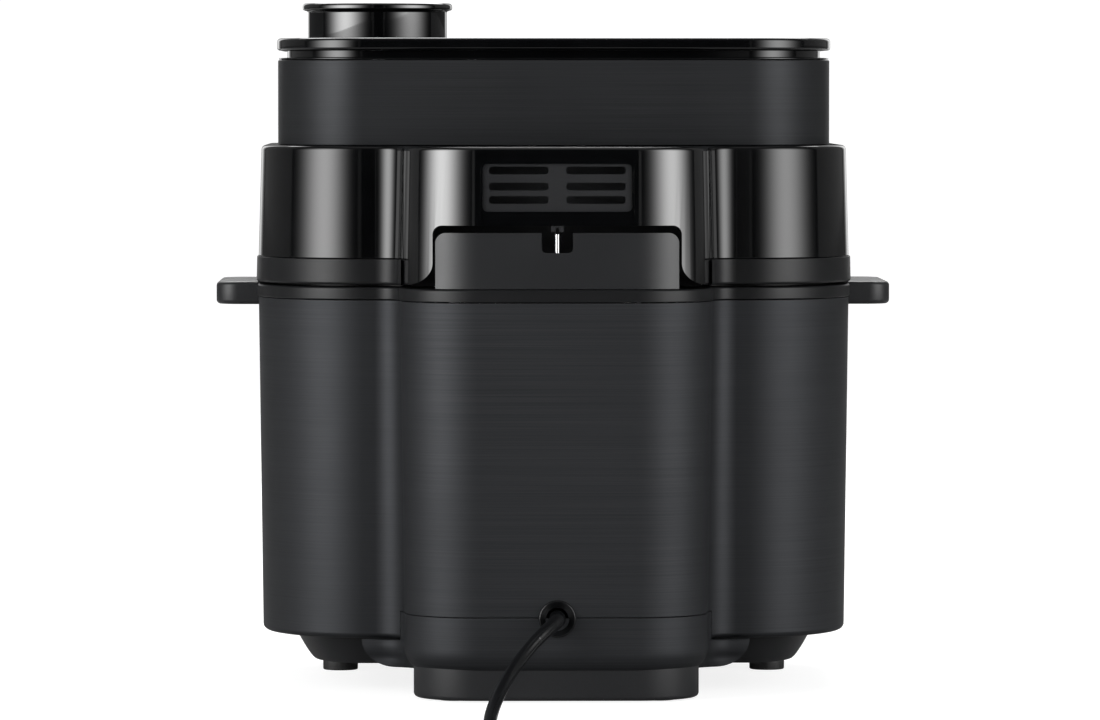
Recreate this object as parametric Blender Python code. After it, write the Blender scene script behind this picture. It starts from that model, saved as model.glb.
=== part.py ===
"""Electric pressure cooker with a tall hinged crisping lid, as an assembly of separate solids.

Frame: metres, +Z up, the object stands on Z = 0. The front (control panel) faces -Y, the rear
lobe with the hinge and the mains cord faces +Y. +X is the side of the steam dial.
"""

import math

import bmesh
import bpy
from mathutils import Matrix, Vector

# ---------------------------------------------------------------- driving dimensions
GAP = 0.0003  # between pieces that touch
WALL = 0.0022  # moulded plastic and sheet walls

# Plan outline at its widest, the lid ring: a rounded rectangle with a lobe on its rear.
PLAN_HALF_W = 0.1655
PLAN_FRONT = -0.162
PLAN_REAR = 0.105  # rear faces of the two side bulges
LOBE_HALF_W = 0.086
LOBE_REAR = 0.1626
R_FRONT = 0.062
R_REAR = (0.0600, 0.080)  # across and along, an elliptical corner
R_FILLET = 0.013
R_LOBE = 0.044

# Heights
SIDE_BOTTOM = 0.031
COVER_LINE = 0.0465  # parting line of the lower rear cover
HOUSING_TOP = 0.2163
RIM_TOP = 0.2235
RING_BOTTOM = 0.2258
RING_TOP = 0.239
SKIRT_TOP = 0.3004
BAND_BOTTOM = 0.303
BAND_TOP = 0.3475
NECK_TOP = 0.3525
PLATE_TOP = 0.3595
DIAL_TOP = 0.3795
PAN_BOTTOM = 0.015
LOBE_BOTTOM = 0.017
COVER_REACH = 0.0850  # the lower cover's half width above the undersides of the side bulges
FLARE_REACH = (0.0950, 0.1030, 0.1055)  # and below them: at its bottom edge, its side and its top

# Insets from the widest plan outline
HOUSING_INSET_TOP = 0.0012
HOUSING_INSET_BOTTOM = 0.0036
RIM_INSET = 0.0006
SKIRT_INSET_BOTTOM = 0.0012
SKIRT_INSET_TOP = 0.0029
BAND_INSET = 0.0121
NECK_INSET = 0.0173
PLATE_INSET = 0.0116
PANEL_HALF_W = 0.0835  # rear lid panel, between its two joint lines

# Side grips: how far out, along and up they reach
GRIP_HALF_W = 0.1885
GRIP_Y = (-0.090, 0.015)
GRIP_Z = (0.2113, 0.2240)

# Front feet
FOOT_X = (-0.1233, 0.1204)
FOOT_Y = -0.070

# Pot and everything concentric with it
POT_Y = -0.028
POT_R = 0.1125
POT_WALL = 0.001
POT_BOTTOM = 0.062
POT_RIM_R = 0.1215
POT_FLOOR = POT_BOTTOM + 0.002
WELL_R = 0.1178
WELL_BOTTOM = 0.040
RIM_HOLE_R = 0.1185

# Hinge
HINGE_Y = 0.145
HINGE_Z = 0.238
HINGE_PIN_R = 0.003
KNUCKLE_R = 0.007
HINGE_COVER_HALF_W = 0.0658
HINGE_COVER_TOP = 0.254
OPENING_HALF_W = 0.0673
OPENING_TOP = 0.258
FLARE_SIZE = (0.0158, 0.0122)
NOTCH_HALF_W = 0.0085
NOTCH_BOTTOM = 0.2432

# Steam dial, float valve and fan
DIAL_X = 0.0986
DIAL_R = 0.0391
DIAL_RIM_R = 0.0421
FLOAT_X = 0.045

# Control panel and its buttons
PANEL_X = 0.080
PANEL_Z = (0.068, 0.192)
PANEL_Y = (-0.1617, -0.1562)
LENS_X = 0.052
LENS_Z = (0.138, 0.180)
BUTTON_SIZE = (0.026, 0.014)
BUTTON_COLUMNS = (-0.046, 0.0, 0.046)
BUTTON_ROWS = (0.116, 0.088)

# Cord, measured along Y from the rear of the lobe
BUSH_Z = 0.0459
CORD_D = 0.007
CORD_LAY = 0.0037  # height of the cord's centre where it lies on the table
COIL_CENTRE = (0.088, 0.447)
COIL_RADII = (0.0245, 0.0535)
PLUG_PLACE = (0.052, 0.563)
PLUG_Z = 0.0072

# Points the cord passes through between its strain relief and its coil.
CORD_ROUTE = [
    (0.0000, 0.1640, 0.0459),
    (0.0008, 0.1705, 0.0452),
    (0.0034, 0.1770, 0.0432),
    (0.0074, 0.1835, 0.0401),
    (0.0122, 0.1902, 0.0360),
    (0.0175, 0.1980, 0.0304),
    (0.0234, 0.2085, 0.0238),
    (0.0287, 0.2230, 0.0167),
    (0.0325, 0.2390, 0.0110),
    (0.0348, 0.2560, 0.0073),
    (0.0361, 0.2740, 0.0052),
    (0.0369, 0.2920, 0.0041),
    (0.0373, 0.3100, CORD_LAY),
    (0.0376, 0.3280, CORD_LAY),
    (0.0378, 0.3480, CORD_LAY),
    (0.0379, 0.3690, CORD_LAY),
    (0.0380, 0.3910, CORD_LAY),
    (0.0380, 0.4140, CORD_LAY),
]
RELIEF_POINTS = 5  # the strain relief covers the route this far


# ---------------------------------------------------------------- materials and objects
def clear_scene():
    for obj in list(bpy.data.objects):
        bpy.data.objects.remove(obj, do_unlink=True)


def material(name, colour, roughness, metallic=0.0):
    """A plain Principled material, made once for each name."""
    found = bpy.data.materials.get(name)
    if found:
        return found
    made = bpy.data.materials.new(name)
    made.use_nodes = True
    shader = made.node_tree.nodes["Principled BSDF"]
    shader.inputs["Base Color"].default_value = (*colour, 1.0)
    shader.inputs["Roughness"].default_value = roughness
    shader.inputs["Metallic"].default_value = metallic
    made.diffuse_color = (*colour, 1.0)
    return made


def brushed_black():
    return material("brushed_black", (0.035, 0.036, 0.038), 0.38, 0.7)


def gloss_black():
    return material("gloss_black", (0.008, 0.008, 0.009), 0.07)


def matte_black():
    return material("matte_black", (0.022, 0.022, 0.024), 0.5)


def rubber_black():
    return material("rubber_black", (0.012, 0.012, 0.012), 0.75)


def steel():
    return material("steel", (0.62, 0.62, 0.63), 0.25, 1.0)


def aluminium():
    return material("aluminium", (0.75, 0.75, 0.76), 0.4, 1.0)


def pot_coating():
    return material("pot_coating", (0.05, 0.05, 0.052), 0.45, 0.3)


def silicone():
    return material("silicone", (0.55, 0.55, 0.53), 0.6)


def board_green():
    return material("board_green", (0.02, 0.12, 0.05), 0.5)


def cord_black():
    return material("cord_black", (0.012, 0.012, 0.013), 0.45)


def make_object(name, mesh_maker, mat, place=(0, 0, 0), parent=None):
    """An object whose mesh is drawn by mesh_maker into a bmesh, in the object's own space."""
    bm = bmesh.new()
    mesh_maker(bm)
    bmesh.ops.recalc_face_normals(bm, faces=bm.faces)
    mesh = bpy.data.meshes.new(name)
    bm.to_mesh(mesh)
    bm.free()
    mesh.materials.append(mat)
    obj = bpy.data.objects.new(name, mesh)
    bpy.context.collection.objects.link(obj)
    obj.location = place
    if parent:
        obj.parent = parent
    mesh.shade_smooth()
    mesh.set_sharp_from_angle(angle=math.radians(32))
    return obj


def pivot(name, place):
    """An empty on a joint's axis, which carries the pieces that turn or slide there."""
    empty = bpy.data.objects.new(name, None)
    bpy.context.collection.objects.link(empty)
    empty.location = place
    return empty


def boolean(obj, tool, operation="DIFFERENCE"):
    """Cut obj with tool, or keep only what lies inside tool."""
    tool.hide_render = True
    tool.display_type = "WIRE"
    made = obj.modifiers.new(operation.lower(), "BOOLEAN")
    made.operation = operation
    made.solver = "EXACT"
    made.object = tool


# ---------------------------------------------------------------- outlines
def arc(cx, cy, radius, start, end, steps, radius_y=None):
    """Points on an arc from start to end, in degrees; radius_y makes it elliptical."""
    tall = radius if radius_y is None else radius_y
    points = []
    for i in range(steps + 1):
        angle = math.radians(start + (end - start) * i / steps)
        points.append((cx + radius * math.cos(angle), cy + tall * math.sin(angle)))
    return points


def rear_corner(half, rear, inset, steps):
    """The corner between a side and the rear of a side bulge."""
    rx, ry = R_REAR[0] - inset, R_REAR[1] - inset
    return arc(half - rx, rear - ry, rx, 0, 90, steps, ry)


def body_outline(inset=0.0, steps=6):
    """The plan outline with its rear lobe, every side moved inwards by inset."""
    half = PLAN_HALF_W - inset
    front = PLAN_FRONT + inset
    rear = PLAN_REAR - inset
    lobe = LOBE_HALF_W - inset
    back = LOBE_REAR - inset
    rf, rl, fillet = R_FRONT - inset, R_LOBE - inset, R_FILLET + inset
    right = arc(half - rf, front + rf, rf, -90, 0, steps)
    right += rear_corner(half, rear, inset, steps)
    right += arc(lobe + fillet, rear + fillet, fillet, 270, 180, 3)
    right += arc(lobe - rl, back - rl, rl, 0, 90, steps)
    return right + [(-x, y) for x, y in reversed(right)]


def lid_outline(inset=0.0, steps=7):
    """The plan outline of the lid's upper part, which has no lobe."""
    half = PLAN_HALF_W - inset
    front = PLAN_FRONT + inset
    rear = PLAN_REAR - inset
    rf = R_FRONT - inset
    right = arc(half - rf, front + rf, rf, -90, 0, steps)
    right += rear_corner(half, rear, inset, steps)
    return right + [(-x, y) for x, y in reversed(right)]


def round_box(x0, x1, y0, y1, radius, steps=3):
    """A rectangle with rounded corners."""
    points = arc(x1 - radius, y0 + radius, radius, -90, 0, steps)
    points += arc(x1 - radius, y1 - radius, radius, 0, 90, steps)
    points += arc(x0 + radius, y1 - radius, radius, 90, 180, steps)
    points += arc(x0 + radius, y0 + radius, radius, 180, 270, steps)
    return points


def circle(radius, cx=0.0, cy=0.0, steps=40):
    return arc(cx, cy, radius, 0, 360 * (steps - 1) / steps, steps - 1)


# ---------------------------------------------------------------- mesh makers
def stack(levels, ring=False):
    """Walls between outlines with equally many points, each an (outline, z) pair.

    As a ring the last outline joins the first; otherwise the two end outlines are filled.
    """

    def draw(bm):
        rows = [[bm.verts.new((x, y, z)) for x, y in outline] for outline, z in levels]
        pairs = list(zip(rows, rows[1:]))
        if ring:
            pairs.append((rows[-1], rows[0]))
        else:
            bm.faces.new(rows[0])
            bm.faces.new(rows[-1])
        for low, high in pairs:
            count = len(low)
            for i in range(count):
                j = (i + 1) % count
                bm.faces.new((low[i], low[j], high[j], high[i]))

    return draw


def prism(outline, z0, z1):
    return stack([(outline, z0), (outline, z1)])


def side_prism(outline, x0, x1):
    """An outline in Y and Z, drawn out along X."""

    def draw(bm):
        stack([(outline, x0), (outline, x1)])(bm)
        for vert in bm.verts:
            vert.co = Vector((vert.co.z, vert.co.x, vert.co.y))

    return draw


def front_prism(outline, y0, y1):
    """An outline in X and Z, drawn out along Y."""

    def draw(bm):
        stack([(outline, y0), (outline, y1)])(bm)
        for vert in bm.verts:
            vert.co = Vector((vert.co.x, vert.co.z, vert.co.y))

    return draw


def turned(profile, steps=40, axis="Z"):
    """A closed (radius, height) profile turned about an axis; points on the axis are allowed."""

    def draw(bm):
        rings = []
        for radius, height in profile:
            if radius == 0:
                rings.append([bm.verts.new((0, 0, height))])
            else:
                rings.append([bm.verts.new((x, y, height)) for x, y in circle(radius, steps=steps)])
        for low, high in zip(rings, rings[1:] + rings[:1]):
            for i in range(steps):
                j = (i + 1) % steps
                corners = [low[i % len(low)], low[j % len(low)], high[j % len(high)], high[i % len(high)]]
                distinct = list(dict.fromkeys(corners))
                if len(distinct) > 2:
                    bm.faces.new(distinct)
        turn = {"Z": Matrix(), "Y": Matrix.Rotation(-math.pi / 2, 4, "X")}
        turn["X"] = Matrix.Rotation(math.pi / 2, 4, "Y")
        bm.transform(turn[axis])

    return draw


def ring_profile(inner, outer, z0, z1):
    return [(inner, z0), (outer, z0), (outer, z1), (inner, z1)]


def disc_profile(radius, z0, z1, chamfer=0.0):
    """A solid disc with a chamfered rim, top and bottom."""
    if not chamfer:
        return [(0, z0), (radius, z0), (radius, z1), (0, z1)]
    inner = radius - chamfer
    return [(0, z0), (inner, z0), (radius, z0 + chamfer), (radius, z1 - chamfer), (inner, z1), (0, z1)]


def cutter(name, mesh_maker, place=(0, 0, 0)):
    obj = make_object(name, mesh_maker, matte_black(), place)
    obj.hide_render = True
    obj.display_type = "WIRE"
    return obj


def box_cutter(name, x, y, z):
    return cutter(name, prism([(x[0], y[0]), (x[1], y[0]), (x[1], y[1]), (x[0], y[1])], z[0], z[1]))


def many(makers):
    """Several shapes that don't touch, drawn into one cutter."""

    def draw(bm):
        for maker in makers:
            part = bmesh.new()
            maker(part)
            mesh = bpy.data.meshes.new("part")
            part.to_mesh(mesh)
            part.free()
            bm.from_mesh(mesh)
            bpy.data.meshes.remove(mesh)

    return draw


def helix(radius, wire, length, turns, sides=5, steps=10):
    """A coil spring along Z from z = 0, with flat ends."""

    def draw(bm):
        rows = []
        count = int(turns * steps)
        rise = length / (2 * math.pi * radius * turns)
        for i in range(count + 1):
            angle = 2 * math.pi * i / steps
            out = Vector((math.cos(angle), math.sin(angle), 0))
            along = Vector((-math.sin(angle), math.cos(angle), rise)).normalized()
            up = along.cross(out)
            centre = out * radius + Vector((0, 0, length * i / count))
            ring = []
            for k in range(sides):
                turn = 2 * math.pi * k / sides
                ring.append(bm.verts.new(centre + (out * math.cos(turn) + up * math.sin(turn)) * wire))
            rows.append(ring)
        for low, high in zip(rows, rows[1:]):
            for i in range(sides):
                j = (i + 1) % sides
                bm.faces.new((low[i], low[j], high[j], high[i]))
        bm.faces.new(rows[0])
        bm.faces.new(rows[-1])

    return draw


# ---------------------------------------------------------------- base: shells and feet
def housing_inset(z):
    """How far the tapered housing stands inside the widest outline at a height."""
    share = (HOUSING_TOP - z) / (HOUSING_TOP - SIDE_BOTTOM)
    return HOUSING_INSET_TOP + share * (HOUSING_INSET_BOTTOM - HOUSING_INSET_TOP)


def outer_housing():
    low = housing_inset(SIDE_BOTTOM)
    obj = make_object(
        "outer_housing",
        stack(
            [
                (body_outline(low + 0.0015), SIDE_BOTTOM),
                (body_outline(low + 0.0004), SIDE_BOTTOM + 0.002),
                (body_outline(low), SIDE_BOTTOM + 0.0045),
                (body_outline(HOUSING_INSET_TOP), HOUSING_TOP),
                (body_outline(HOUSING_INSET_TOP + WALL), HOUSING_TOP),
                (body_outline(low + WALL), SIDE_BOTTOM + 0.0045),
                (body_outline(low + WALL + 0.001), SIDE_BOTTOM),
            ],
            ring=True,
        ),
        brushed_black(),
    )
    notch = COVER_REACH + GAP
    boolean(obj, box_cutter("cut_cover", (-notch, notch), (0.0975, 0.2), (0.0, COVER_LINE)))
    x, z = PANEL_X + GAP, PANEL_Z
    window = round_box(-x, x, z[0] - GAP, z[1] + GAP, 0.008)
    boolean(obj, cutter("cut_panel", front_prism(window, -0.2, -0.13)))
    hole = turned(disc_profile(0.0087 + GAP, 0.14, 0.18), 24, "Y")
    boolean(obj, cutter("cut_bush", hole, (0, 0, BUSH_Z)))
    return obj


def lobe_outline(inset, front, reach=0.0, steps=6):
    """The lobe alone, closed at the front; its sides run into the fillets as far as X = reach."""
    half, back, radius = LOBE_HALF_W - inset, LOBE_REAR - inset, R_LOBE - inset
    fillet = R_FILLET + inset
    centre_x, base = half + fillet, max(PLAN_REAR - inset, front + 0.0005)
    if reach:
        share = (centre_x - reach) / fillet
        start = 180 + math.degrees(math.acos(min(max(share, 0.0), 1.0)))
        curve = arc(centre_x, base + fillet, fillet, start, 180, 3)
        right = [(reach, front), (reach, (front + curve[0][1]) / 2)] + curve
    else:
        right = [(half, front)] + [(half, base + (back - radius - base) * k / 5) for k in range(5)]
    right += arc(half - radius, back - radius, radius, 0, 90, steps)
    return right + [(-x, y) for x, y in reversed(right)]


def rear_lower_cover():
    """The tray that closes the bottom of the lobe; below the side bulges it also fills the fillets."""
    inset, round_r, front = housing_inset(COVER_LINE), 0.008, 0.0992
    shelf = SIDE_BOTTOM - 2 * GAP
    levels = []
    for k in range(4):
        angle = math.radians(30 * k)
        inward = inset + round_r * (1 - math.sin(angle))
        reach = FLARE_REACH[0] + (FLARE_REACH[1] - FLARE_REACH[0]) * math.sin(angle)
        levels.append((lobe_outline(inward, front, reach), LOBE_BOTTOM + round_r * (1 - math.cos(angle))))
    levels += [
        (lobe_outline(inset, front, FLARE_REACH[2]), shelf),
        (lobe_outline(inset, front, COVER_REACH), shelf + 0.0002),
        (lobe_outline(inset, front, COVER_REACH), COVER_LINE - GAP),
        (lobe_outline(inset + WALL, front + WALL), COVER_LINE - GAP),
        (lobe_outline(inset + WALL, front + WALL), LOBE_BOTTOM + round_r),
        (lobe_outline(inset + round_r, front + WALL), LOBE_BOTTOM + WALL),
    ]
    obj = make_object("rear_lower_cover", stack(levels), brushed_black())
    hole = turned(disc_profile(0.0087 + GAP, 0.14, 0.18), 24, "Y")
    boolean(obj, cutter("cut_bush_low", hole, (0, 0, BUSH_Z)))
    return obj


def rear_foot_block():
    """A hollow block with the lobe's own plan shape, which stands on two pads."""
    inset, front, low = 0.0083, 0.111, 0.001
    top = LOBE_BOTTOM - GAP
    return make_object(
        "rear_foot_block",
        stack(
            [
                (lobe_outline(inset + 0.003, front + 0.003), low),
                (lobe_outline(inset + 0.0008, front + 0.0008), low + 0.001),
                (lobe_outline(inset, front), low + 0.003),
                (lobe_outline(inset, front), top),
                (lobe_outline(inset + WALL, front + WALL), top),
                (lobe_outline(inset + WALL + 0.001, front + WALL + 0.001), low + WALL),
            ]
        ),
        matte_black(),
    )


def bottom_pan():
    flange, top, low = 0.0074, 0.022, 0.032
    z = SIDE_BOTTOM
    obj = make_object(
        "bottom_pan",
        stack(
            [
                (lid_outline(low), PAN_BOTTOM),
                (lid_outline(top + 0.002), z - 0.003),
                (lid_outline(top), z),
                (lid_outline(flange), z),
                (lid_outline(flange), z + WALL),
                (lid_outline(top + WALL), z + WALL),
                (lid_outline(top + 0.004 + WALL), z - 0.003),
                (lid_outline(low + WALL), PAN_BOTTOM + WALL),
            ]
        ),
        matte_black(),
    )
    slots = []
    for side in (-1, 1):
        for k in range(5):
            x, y = side * 0.062, -0.080 + 0.026 * k
            slots.append(prism(round_box(x - 0.022, x + 0.022, y - 0.003, y + 0.003, 0.002, 1), 0, 0.03))
    boolean(obj, cutter("cut_pan_vents", many(slots)))
    return obj


def feet():
    for side, x in zip(("left", "right"), FOOT_X):
        top = PAN_BOTTOM - GAP
        profile = [(0, 0), (0.0092, 0), (0.0100, 0.0010), (0.0093, top), (0, top)]
        make_object(f"front_foot_{side}", turned(profile, 24), rubber_black(), (x, FOOT_Y, 0))
    pad = disc_profile(0.009, 0, 0.0007)
    for side, x in (("left", -0.055), ("right", 0.055)):
        make_object(f"rear_pad_{side}", turned(pad, 20), rubber_black(), (x, 0.133, 0))


def base_rim():
    """The top cover of the base: an inverted tray with the pot opening."""
    z0, z1 = HOUSING_TOP + GAP, RIM_TOP
    obj = make_object(
        "base_rim",
        stack(
            [
                (body_outline(RIM_INSET + WALL), z1 - WALL),
                (body_outline(RIM_INSET + WALL), z0),
                (body_outline(RIM_INSET), z0),
                (body_outline(RIM_INSET), z1 - 0.0015),
                (body_outline(RIM_INSET + 0.0015), z1),
            ]
        ),
        matte_black(),
    )
    hole = turned(disc_profile(RIM_HOLE_R, z0 - 0.02, z1 + 0.02))
    boolean(obj, cutter("cut_pot", hole, (0, POT_Y, 0)))
    boolean(obj, box_cutter("cut_latch", (-0.013, 0.013), (-0.1590, -0.1530), (0.2, 0.23)))
    return obj


def side_handles():
    for side, sign in (("left", -1), ("right", 1)):
        inner, outer, y0, y1, r = PLAN_HALF_W - GAP, GRIP_HALF_W, *GRIP_Y, 0.010

        def shape(inward):
            points = [(inner, y0 + inward)]
            points += arc(outer - inward - r, y0 + inward + r, r, -90, 0, 4)
            points += arc(outer - inward - r, y1 - inward - r, r, 0, 90, 4)
            points += [(inner, y1 - inward)]
            return [(sign * x, y) for x, y in points]

        low, high = GRIP_Z
        levels = [(shape(0.0020), low), (shape(0.0000), low + 0.0018)]
        levels += [(shape(0.0000), high - 0.0020), (shape(0.0015), high)]
        make_object(f"side_handle_{side}", stack(levels), matte_black())


# ---------------------------------------------------------------- base: pot and heating
def pot_parts():
    well = [
        (0.015, WELL_BOTTOM),
        (WELL_R, WELL_BOTTOM),
        (WELL_R, RIM_TOP + GAP),
        (0.1235, RIM_TOP + GAP),
        (0.1235, RIM_TOP + 0.0011),
        (WELL_R - POT_WALL, RIM_TOP + 0.0011),
        (WELL_R - POT_WALL, WELL_BOTTOM + POT_WALL),
        (0.015, WELL_BOTTOM + POT_WALL),
    ]
    make_object("inner_shell", turned(well), steel(), (0, POT_Y, 0))
    rim = RIM_TOP + 0.0011 + GAP
    pot = [
        (0, POT_BOTTOM),
        (POT_R - 0.010, POT_BOTTOM),
        (POT_R - 0.003, POT_BOTTOM + 0.003),
        (POT_R, POT_BOTTOM + 0.010),
        (POT_R, rim),
        (POT_RIM_R, rim),
        (POT_RIM_R, rim + 0.002),
        (POT_R - POT_WALL, rim + 0.002),
        (POT_R - POT_WALL, POT_BOTTOM + 0.011),
        (POT_R - 0.004, POT_FLOOR + 0.003),
        (POT_R - 0.010, POT_FLOOR),
        (0, POT_FLOOR),
    ]
    make_object("inner_pot", turned(pot), pot_coating(), (0, POT_Y, 0))
    plate = ring_profile(0.0125, 0.098, 0.050, POT_BOTTOM - GAP)
    make_object("heating_plate", turned(plate, 36), aluminium(), (0, POT_Y, 0))


def sensor_parts():
    seat = pivot("sensor_seat", (0, POT_Y, POT_BOTTOM - GAP))
    plunger = [(0, 0), (0.0105, 0), (0.0105, -0.010), (0.004, -0.010), (0.004, -0.030), (0, -0.030)]
    make_object("temperature_sensor", turned(plunger[::-1], 20), aluminium(), parent=seat)
    spring = helix(0.0075, 0.0006, 0.0088, 4)
    make_object("sensor_spring", spring, steel(), (0, POT_Y, 0.0420))


def boards():
    low, high = PANEL_Z
    board = round_box(-0.072, 0.072, low + 0.006, high - 0.006, 0.003, 1)
    make_object("control_board", front_prism(board, -0.1500, -0.1484), board_green())
    board = round_box(-0.060, 0.060, 0.062, 0.190, 0.003, 1)
    make_object("power_board", front_prism(board, 0.1290, 0.1306), board_green())


# ---------------------------------------------------------------- base: hinge tower
def hinge_cover():
    """Rear wall, cheeks and a narrow top lip around the hinge; open to the front."""
    inset, low, high = 0.0026, RIM_TOP + GAP, HINGE_COVER_TOP
    half, back = LOBE_HALF_W - inset, LOBE_REAR - inset

    def bow(inward):
        """The rear of the lobe between the cover's two cheeks, then back inside the wall."""
        radius = R_LOBE - inset - inward
        reach = HINGE_COVER_HALF_W - inward
        centre_x = half - inward - radius
        end = math.degrees(math.acos((reach - centre_x) / radius))
        right = [(reach, 0.131)] + arc(centre_x, back - inward - radius, radius, end, 90, 5)
        return right + [(-x, y) for x, y in reversed(right)]

    outline = bow(0.0) + bow(0.002)[::-1]
    obj = make_object("hinge_cover", stack([(outline, low), (outline, high)]), matte_black())
    edge = HINGE_COVER_HALF_W
    frame = round_box(-edge - 0.01, edge + 0.01, high - 0.02, high + 0.02, 0.001, 1)
    arch = round_box(-edge - 0.0001, edge + 0.0001, low - 0.02, high + 0.0001, 0.006, 4)
    corners = cutter("cut_cover_corners", front_prism(frame, 0.12, 0.18))
    boolean(corners, cutter("keep_cover_arch", front_prism(arch, 0.11, 0.19)))
    boolean(obj, corners)
    notch = round_box(-NOTCH_HALF_W, NOTCH_HALF_W, NOTCH_BOTTOM, high + 0.01, 0.0026, 2)
    boolean(obj, cutter("cut_notch", front_prism(notch, 0.15, 0.18)))
    return obj


def hinge_parts():
    low = RIM_TOP + GAP
    for side, sign in (("left", -1), ("right", 1)):
        x0, x1 = sorted((sign * 0.050, sign * 0.053))
        ear = [(HINGE_Y - 0.012, low), (HINGE_Y + 0.010, low)]
        ear += arc(HINGE_Y, HINGE_Z, KNUCKLE_R, 0, 180, 6)
        name = f"hinge_bracket_{side}"
        obj = make_object(name, side_prism(ear, x0, x1), steel())
        hole = turned(disc_profile(HINGE_PIN_R + GAP, x0 - 0.01, x1 + 0.01), 16, "X")
        boolean(obj, cutter(f"cut_{name}", hole, (0, HINGE_Y, HINGE_Z)))
    pin = turned(disc_profile(HINGE_PIN_R, -0.056, 0.056), 16, "X")
    make_object("hinge_pin", pin, steel(), (0, HINGE_Y, HINGE_Z))
    spring = make_object("hinge_spring", helix(0.0052, 0.0009, 0.018, 6), steel())
    spring.location = (0.010, HINGE_Y, HINGE_Z)
    spring.rotation_euler = (0, math.pi / 2, 0)
    pin = disc_profile(0.0013, low, HINGE_COVER_TOP - 0.0004, 0.0003)
    make_object("lid_sensing_pin", turned(pin, 12), steel(), (0, 0.1555, 0))


# ---------------------------------------------------------------- base: front panel
def control_panel():
    x, z = PANEL_X, PANEL_Z
    plate = round_box(-x, x, z[0], z[1], 0.0077)
    obj = make_object("control_panel", front_prism(plate, *PANEL_Y), gloss_black())
    openings = [round_box(-LENS_X - GAP, LENS_X + GAP, LENS_Z[0] - GAP, LENS_Z[1] + GAP, 0.003, 2)]
    wide, tall = BUTTON_SIZE[0] / 2 + GAP, BUTTON_SIZE[1] / 2 + GAP
    for cz in BUTTON_ROWS:
        for cx in BUTTON_COLUMNS:
            openings.append(round_box(cx - wide, cx + wide, cz - tall, cz + tall, 0.003, 2))
    tools = [front_prism(outline, PANEL_Y[0] - 0.01, PANEL_Y[1] + 0.01) for outline in openings]
    boolean(obj, cutter("cut_panel_windows", many(tools)))
    lens = round_box(-LENS_X, LENS_X, *LENS_Z, 0.003, 2)
    make_object("display_lens", front_prism(lens, PANEL_Y[0] + 0.0004, PANEL_Y[1]), gloss_black())


def panel_buttons():
    wide, tall = BUTTON_SIZE[0] / 2, BUTTON_SIZE[1] / 2
    number = 0
    for cz in BUTTON_ROWS:
        for cx in BUTTON_COLUMNS:
            number += 1
            seat = pivot(f"button_seat_{number}", (cx, PANEL_Y[0], cz))
            shape = round_box(-wide, wide, -tall, tall, 0.003, 2)
            key = front_prism(shape, 0.0, 0.0062)
            make_object(f"panel_button_{number}", key, matte_black(), parent=seat)


# ---------------------------------------------------------------- lid: outer shells
def skirt_levels():
    """An inverted tray over the whole plan, with a rounded upper edge."""
    bottom, top = SKIRT_INSET_BOTTOM, SKIRT_INSET_TOP
    return [
        (body_outline(bottom + WALL), RING_TOP),
        (body_outline(bottom), RING_TOP),
        (body_outline(top), SKIRT_TOP - 0.0025),
        (body_outline(top + 0.0008), SKIRT_TOP - 0.0007),
        (body_outline(top + 0.0025), SKIRT_TOP),
        (lid_opening_outline(0.030), SKIRT_TOP),
        (lid_opening_outline(0.030), SKIRT_TOP - WALL),
        (body_outline(top + WALL), SKIRT_TOP - WALL),
    ]


def lid_opening_outline(inset):
    """The lobeless opening in the lid's top, with as many points as body_outline."""
    half = PLAN_HALF_W - inset
    front, rear = PLAN_FRONT + inset, PLAN_REAR - inset
    rf = R_FRONT - inset
    edge = half - R_REAR[0] + inset
    right = arc(half - rf, front + rf, rf, -90, 0, 6) + rear_corner(half, rear, inset, 6)
    right += [(edge * share, rear) for share in (0.95, 0.9, 0.85, 0.8)]
    right += [(edge * share, rear) for share in (0.7, 0.6, 0.5, 0.4, 0.3, 0.2, 0.1)]
    return right + [(-x, y) for x, y in reversed(right)]


def lid_skirt():
    obj = make_object("lid_skirt", stack(skirt_levels(), ring=True), gloss_black())
    half = PANEL_HALF_W
    boolean(obj, box_cutter("cut_skirt_rear", (-half, half), (0.070, 0.2), (0.2, 0.32)))
    return obj


def lid_ring():
    levels = [
        (body_outline(0.0030), RING_BOTTOM),
        (body_outline(0.0006), RING_BOTTOM),
        (body_outline(0.0), RING_BOTTOM + 0.0015),
        (body_outline(0.0003), RING_TOP - GAP),
        (body_outline(0.0030), RING_TOP - GAP),
    ]
    obj = make_object("lid_ring", stack(levels, ring=True), matte_black())
    half = PANEL_HALF_W
    boolean(obj, box_cutter("cut_ring_rear", (-half, half), (0.070, 0.2), (0.2, 0.32)))
    boolean(obj, box_cutter("cut_ring_button", (-0.0203, 0.0203), (-0.2, -0.13), (0.2303, 0.2373)))
    return obj


def hinge_opening():
    """The opening's outline in X and Z, flared at its foot."""
    half, low = OPENING_HALF_W, RING_BOTTOM + 0.0006
    wide, tall = FLARE_SIZE
    right = [(half + wide, 0.20)] + arc(half + wide, low + tall, wide, 270, 180, 4, tall)
    right += arc(half - 0.005, OPENING_TOP - 0.005, 0.005, 0, 90, 4)
    return right + [(-x, z) for x, z in reversed(right)]


def lid_rear_panel():
    levels = skirt_levels()
    levels[0] = (body_outline(SKIRT_INSET_BOTTOM + WALL), RING_BOTTOM)
    levels[1] = (body_outline(SKIRT_INSET_BOTTOM), RING_BOTTOM)
    obj = make_object("lid_rear_panel", stack(levels, ring=True), gloss_black())
    half = PANEL_HALF_W - GAP
    keep = box_cutter("keep_panel", (-half, half), (0.070 + GAP, 0.2), (0.2, 0.32))
    boolean(obj, keep, "INTERSECT")
    boolean(obj, cutter("cut_opening", front_prism(hinge_opening(), 0.11, 0.19)))
    grille = round_box(-0.0412, 0.0412, 0.2648, 0.2923, 0.003, 2)
    boolean(obj, cutter("cut_grille", front_prism(grille, 0.14, 0.19)))
    return obj


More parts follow.
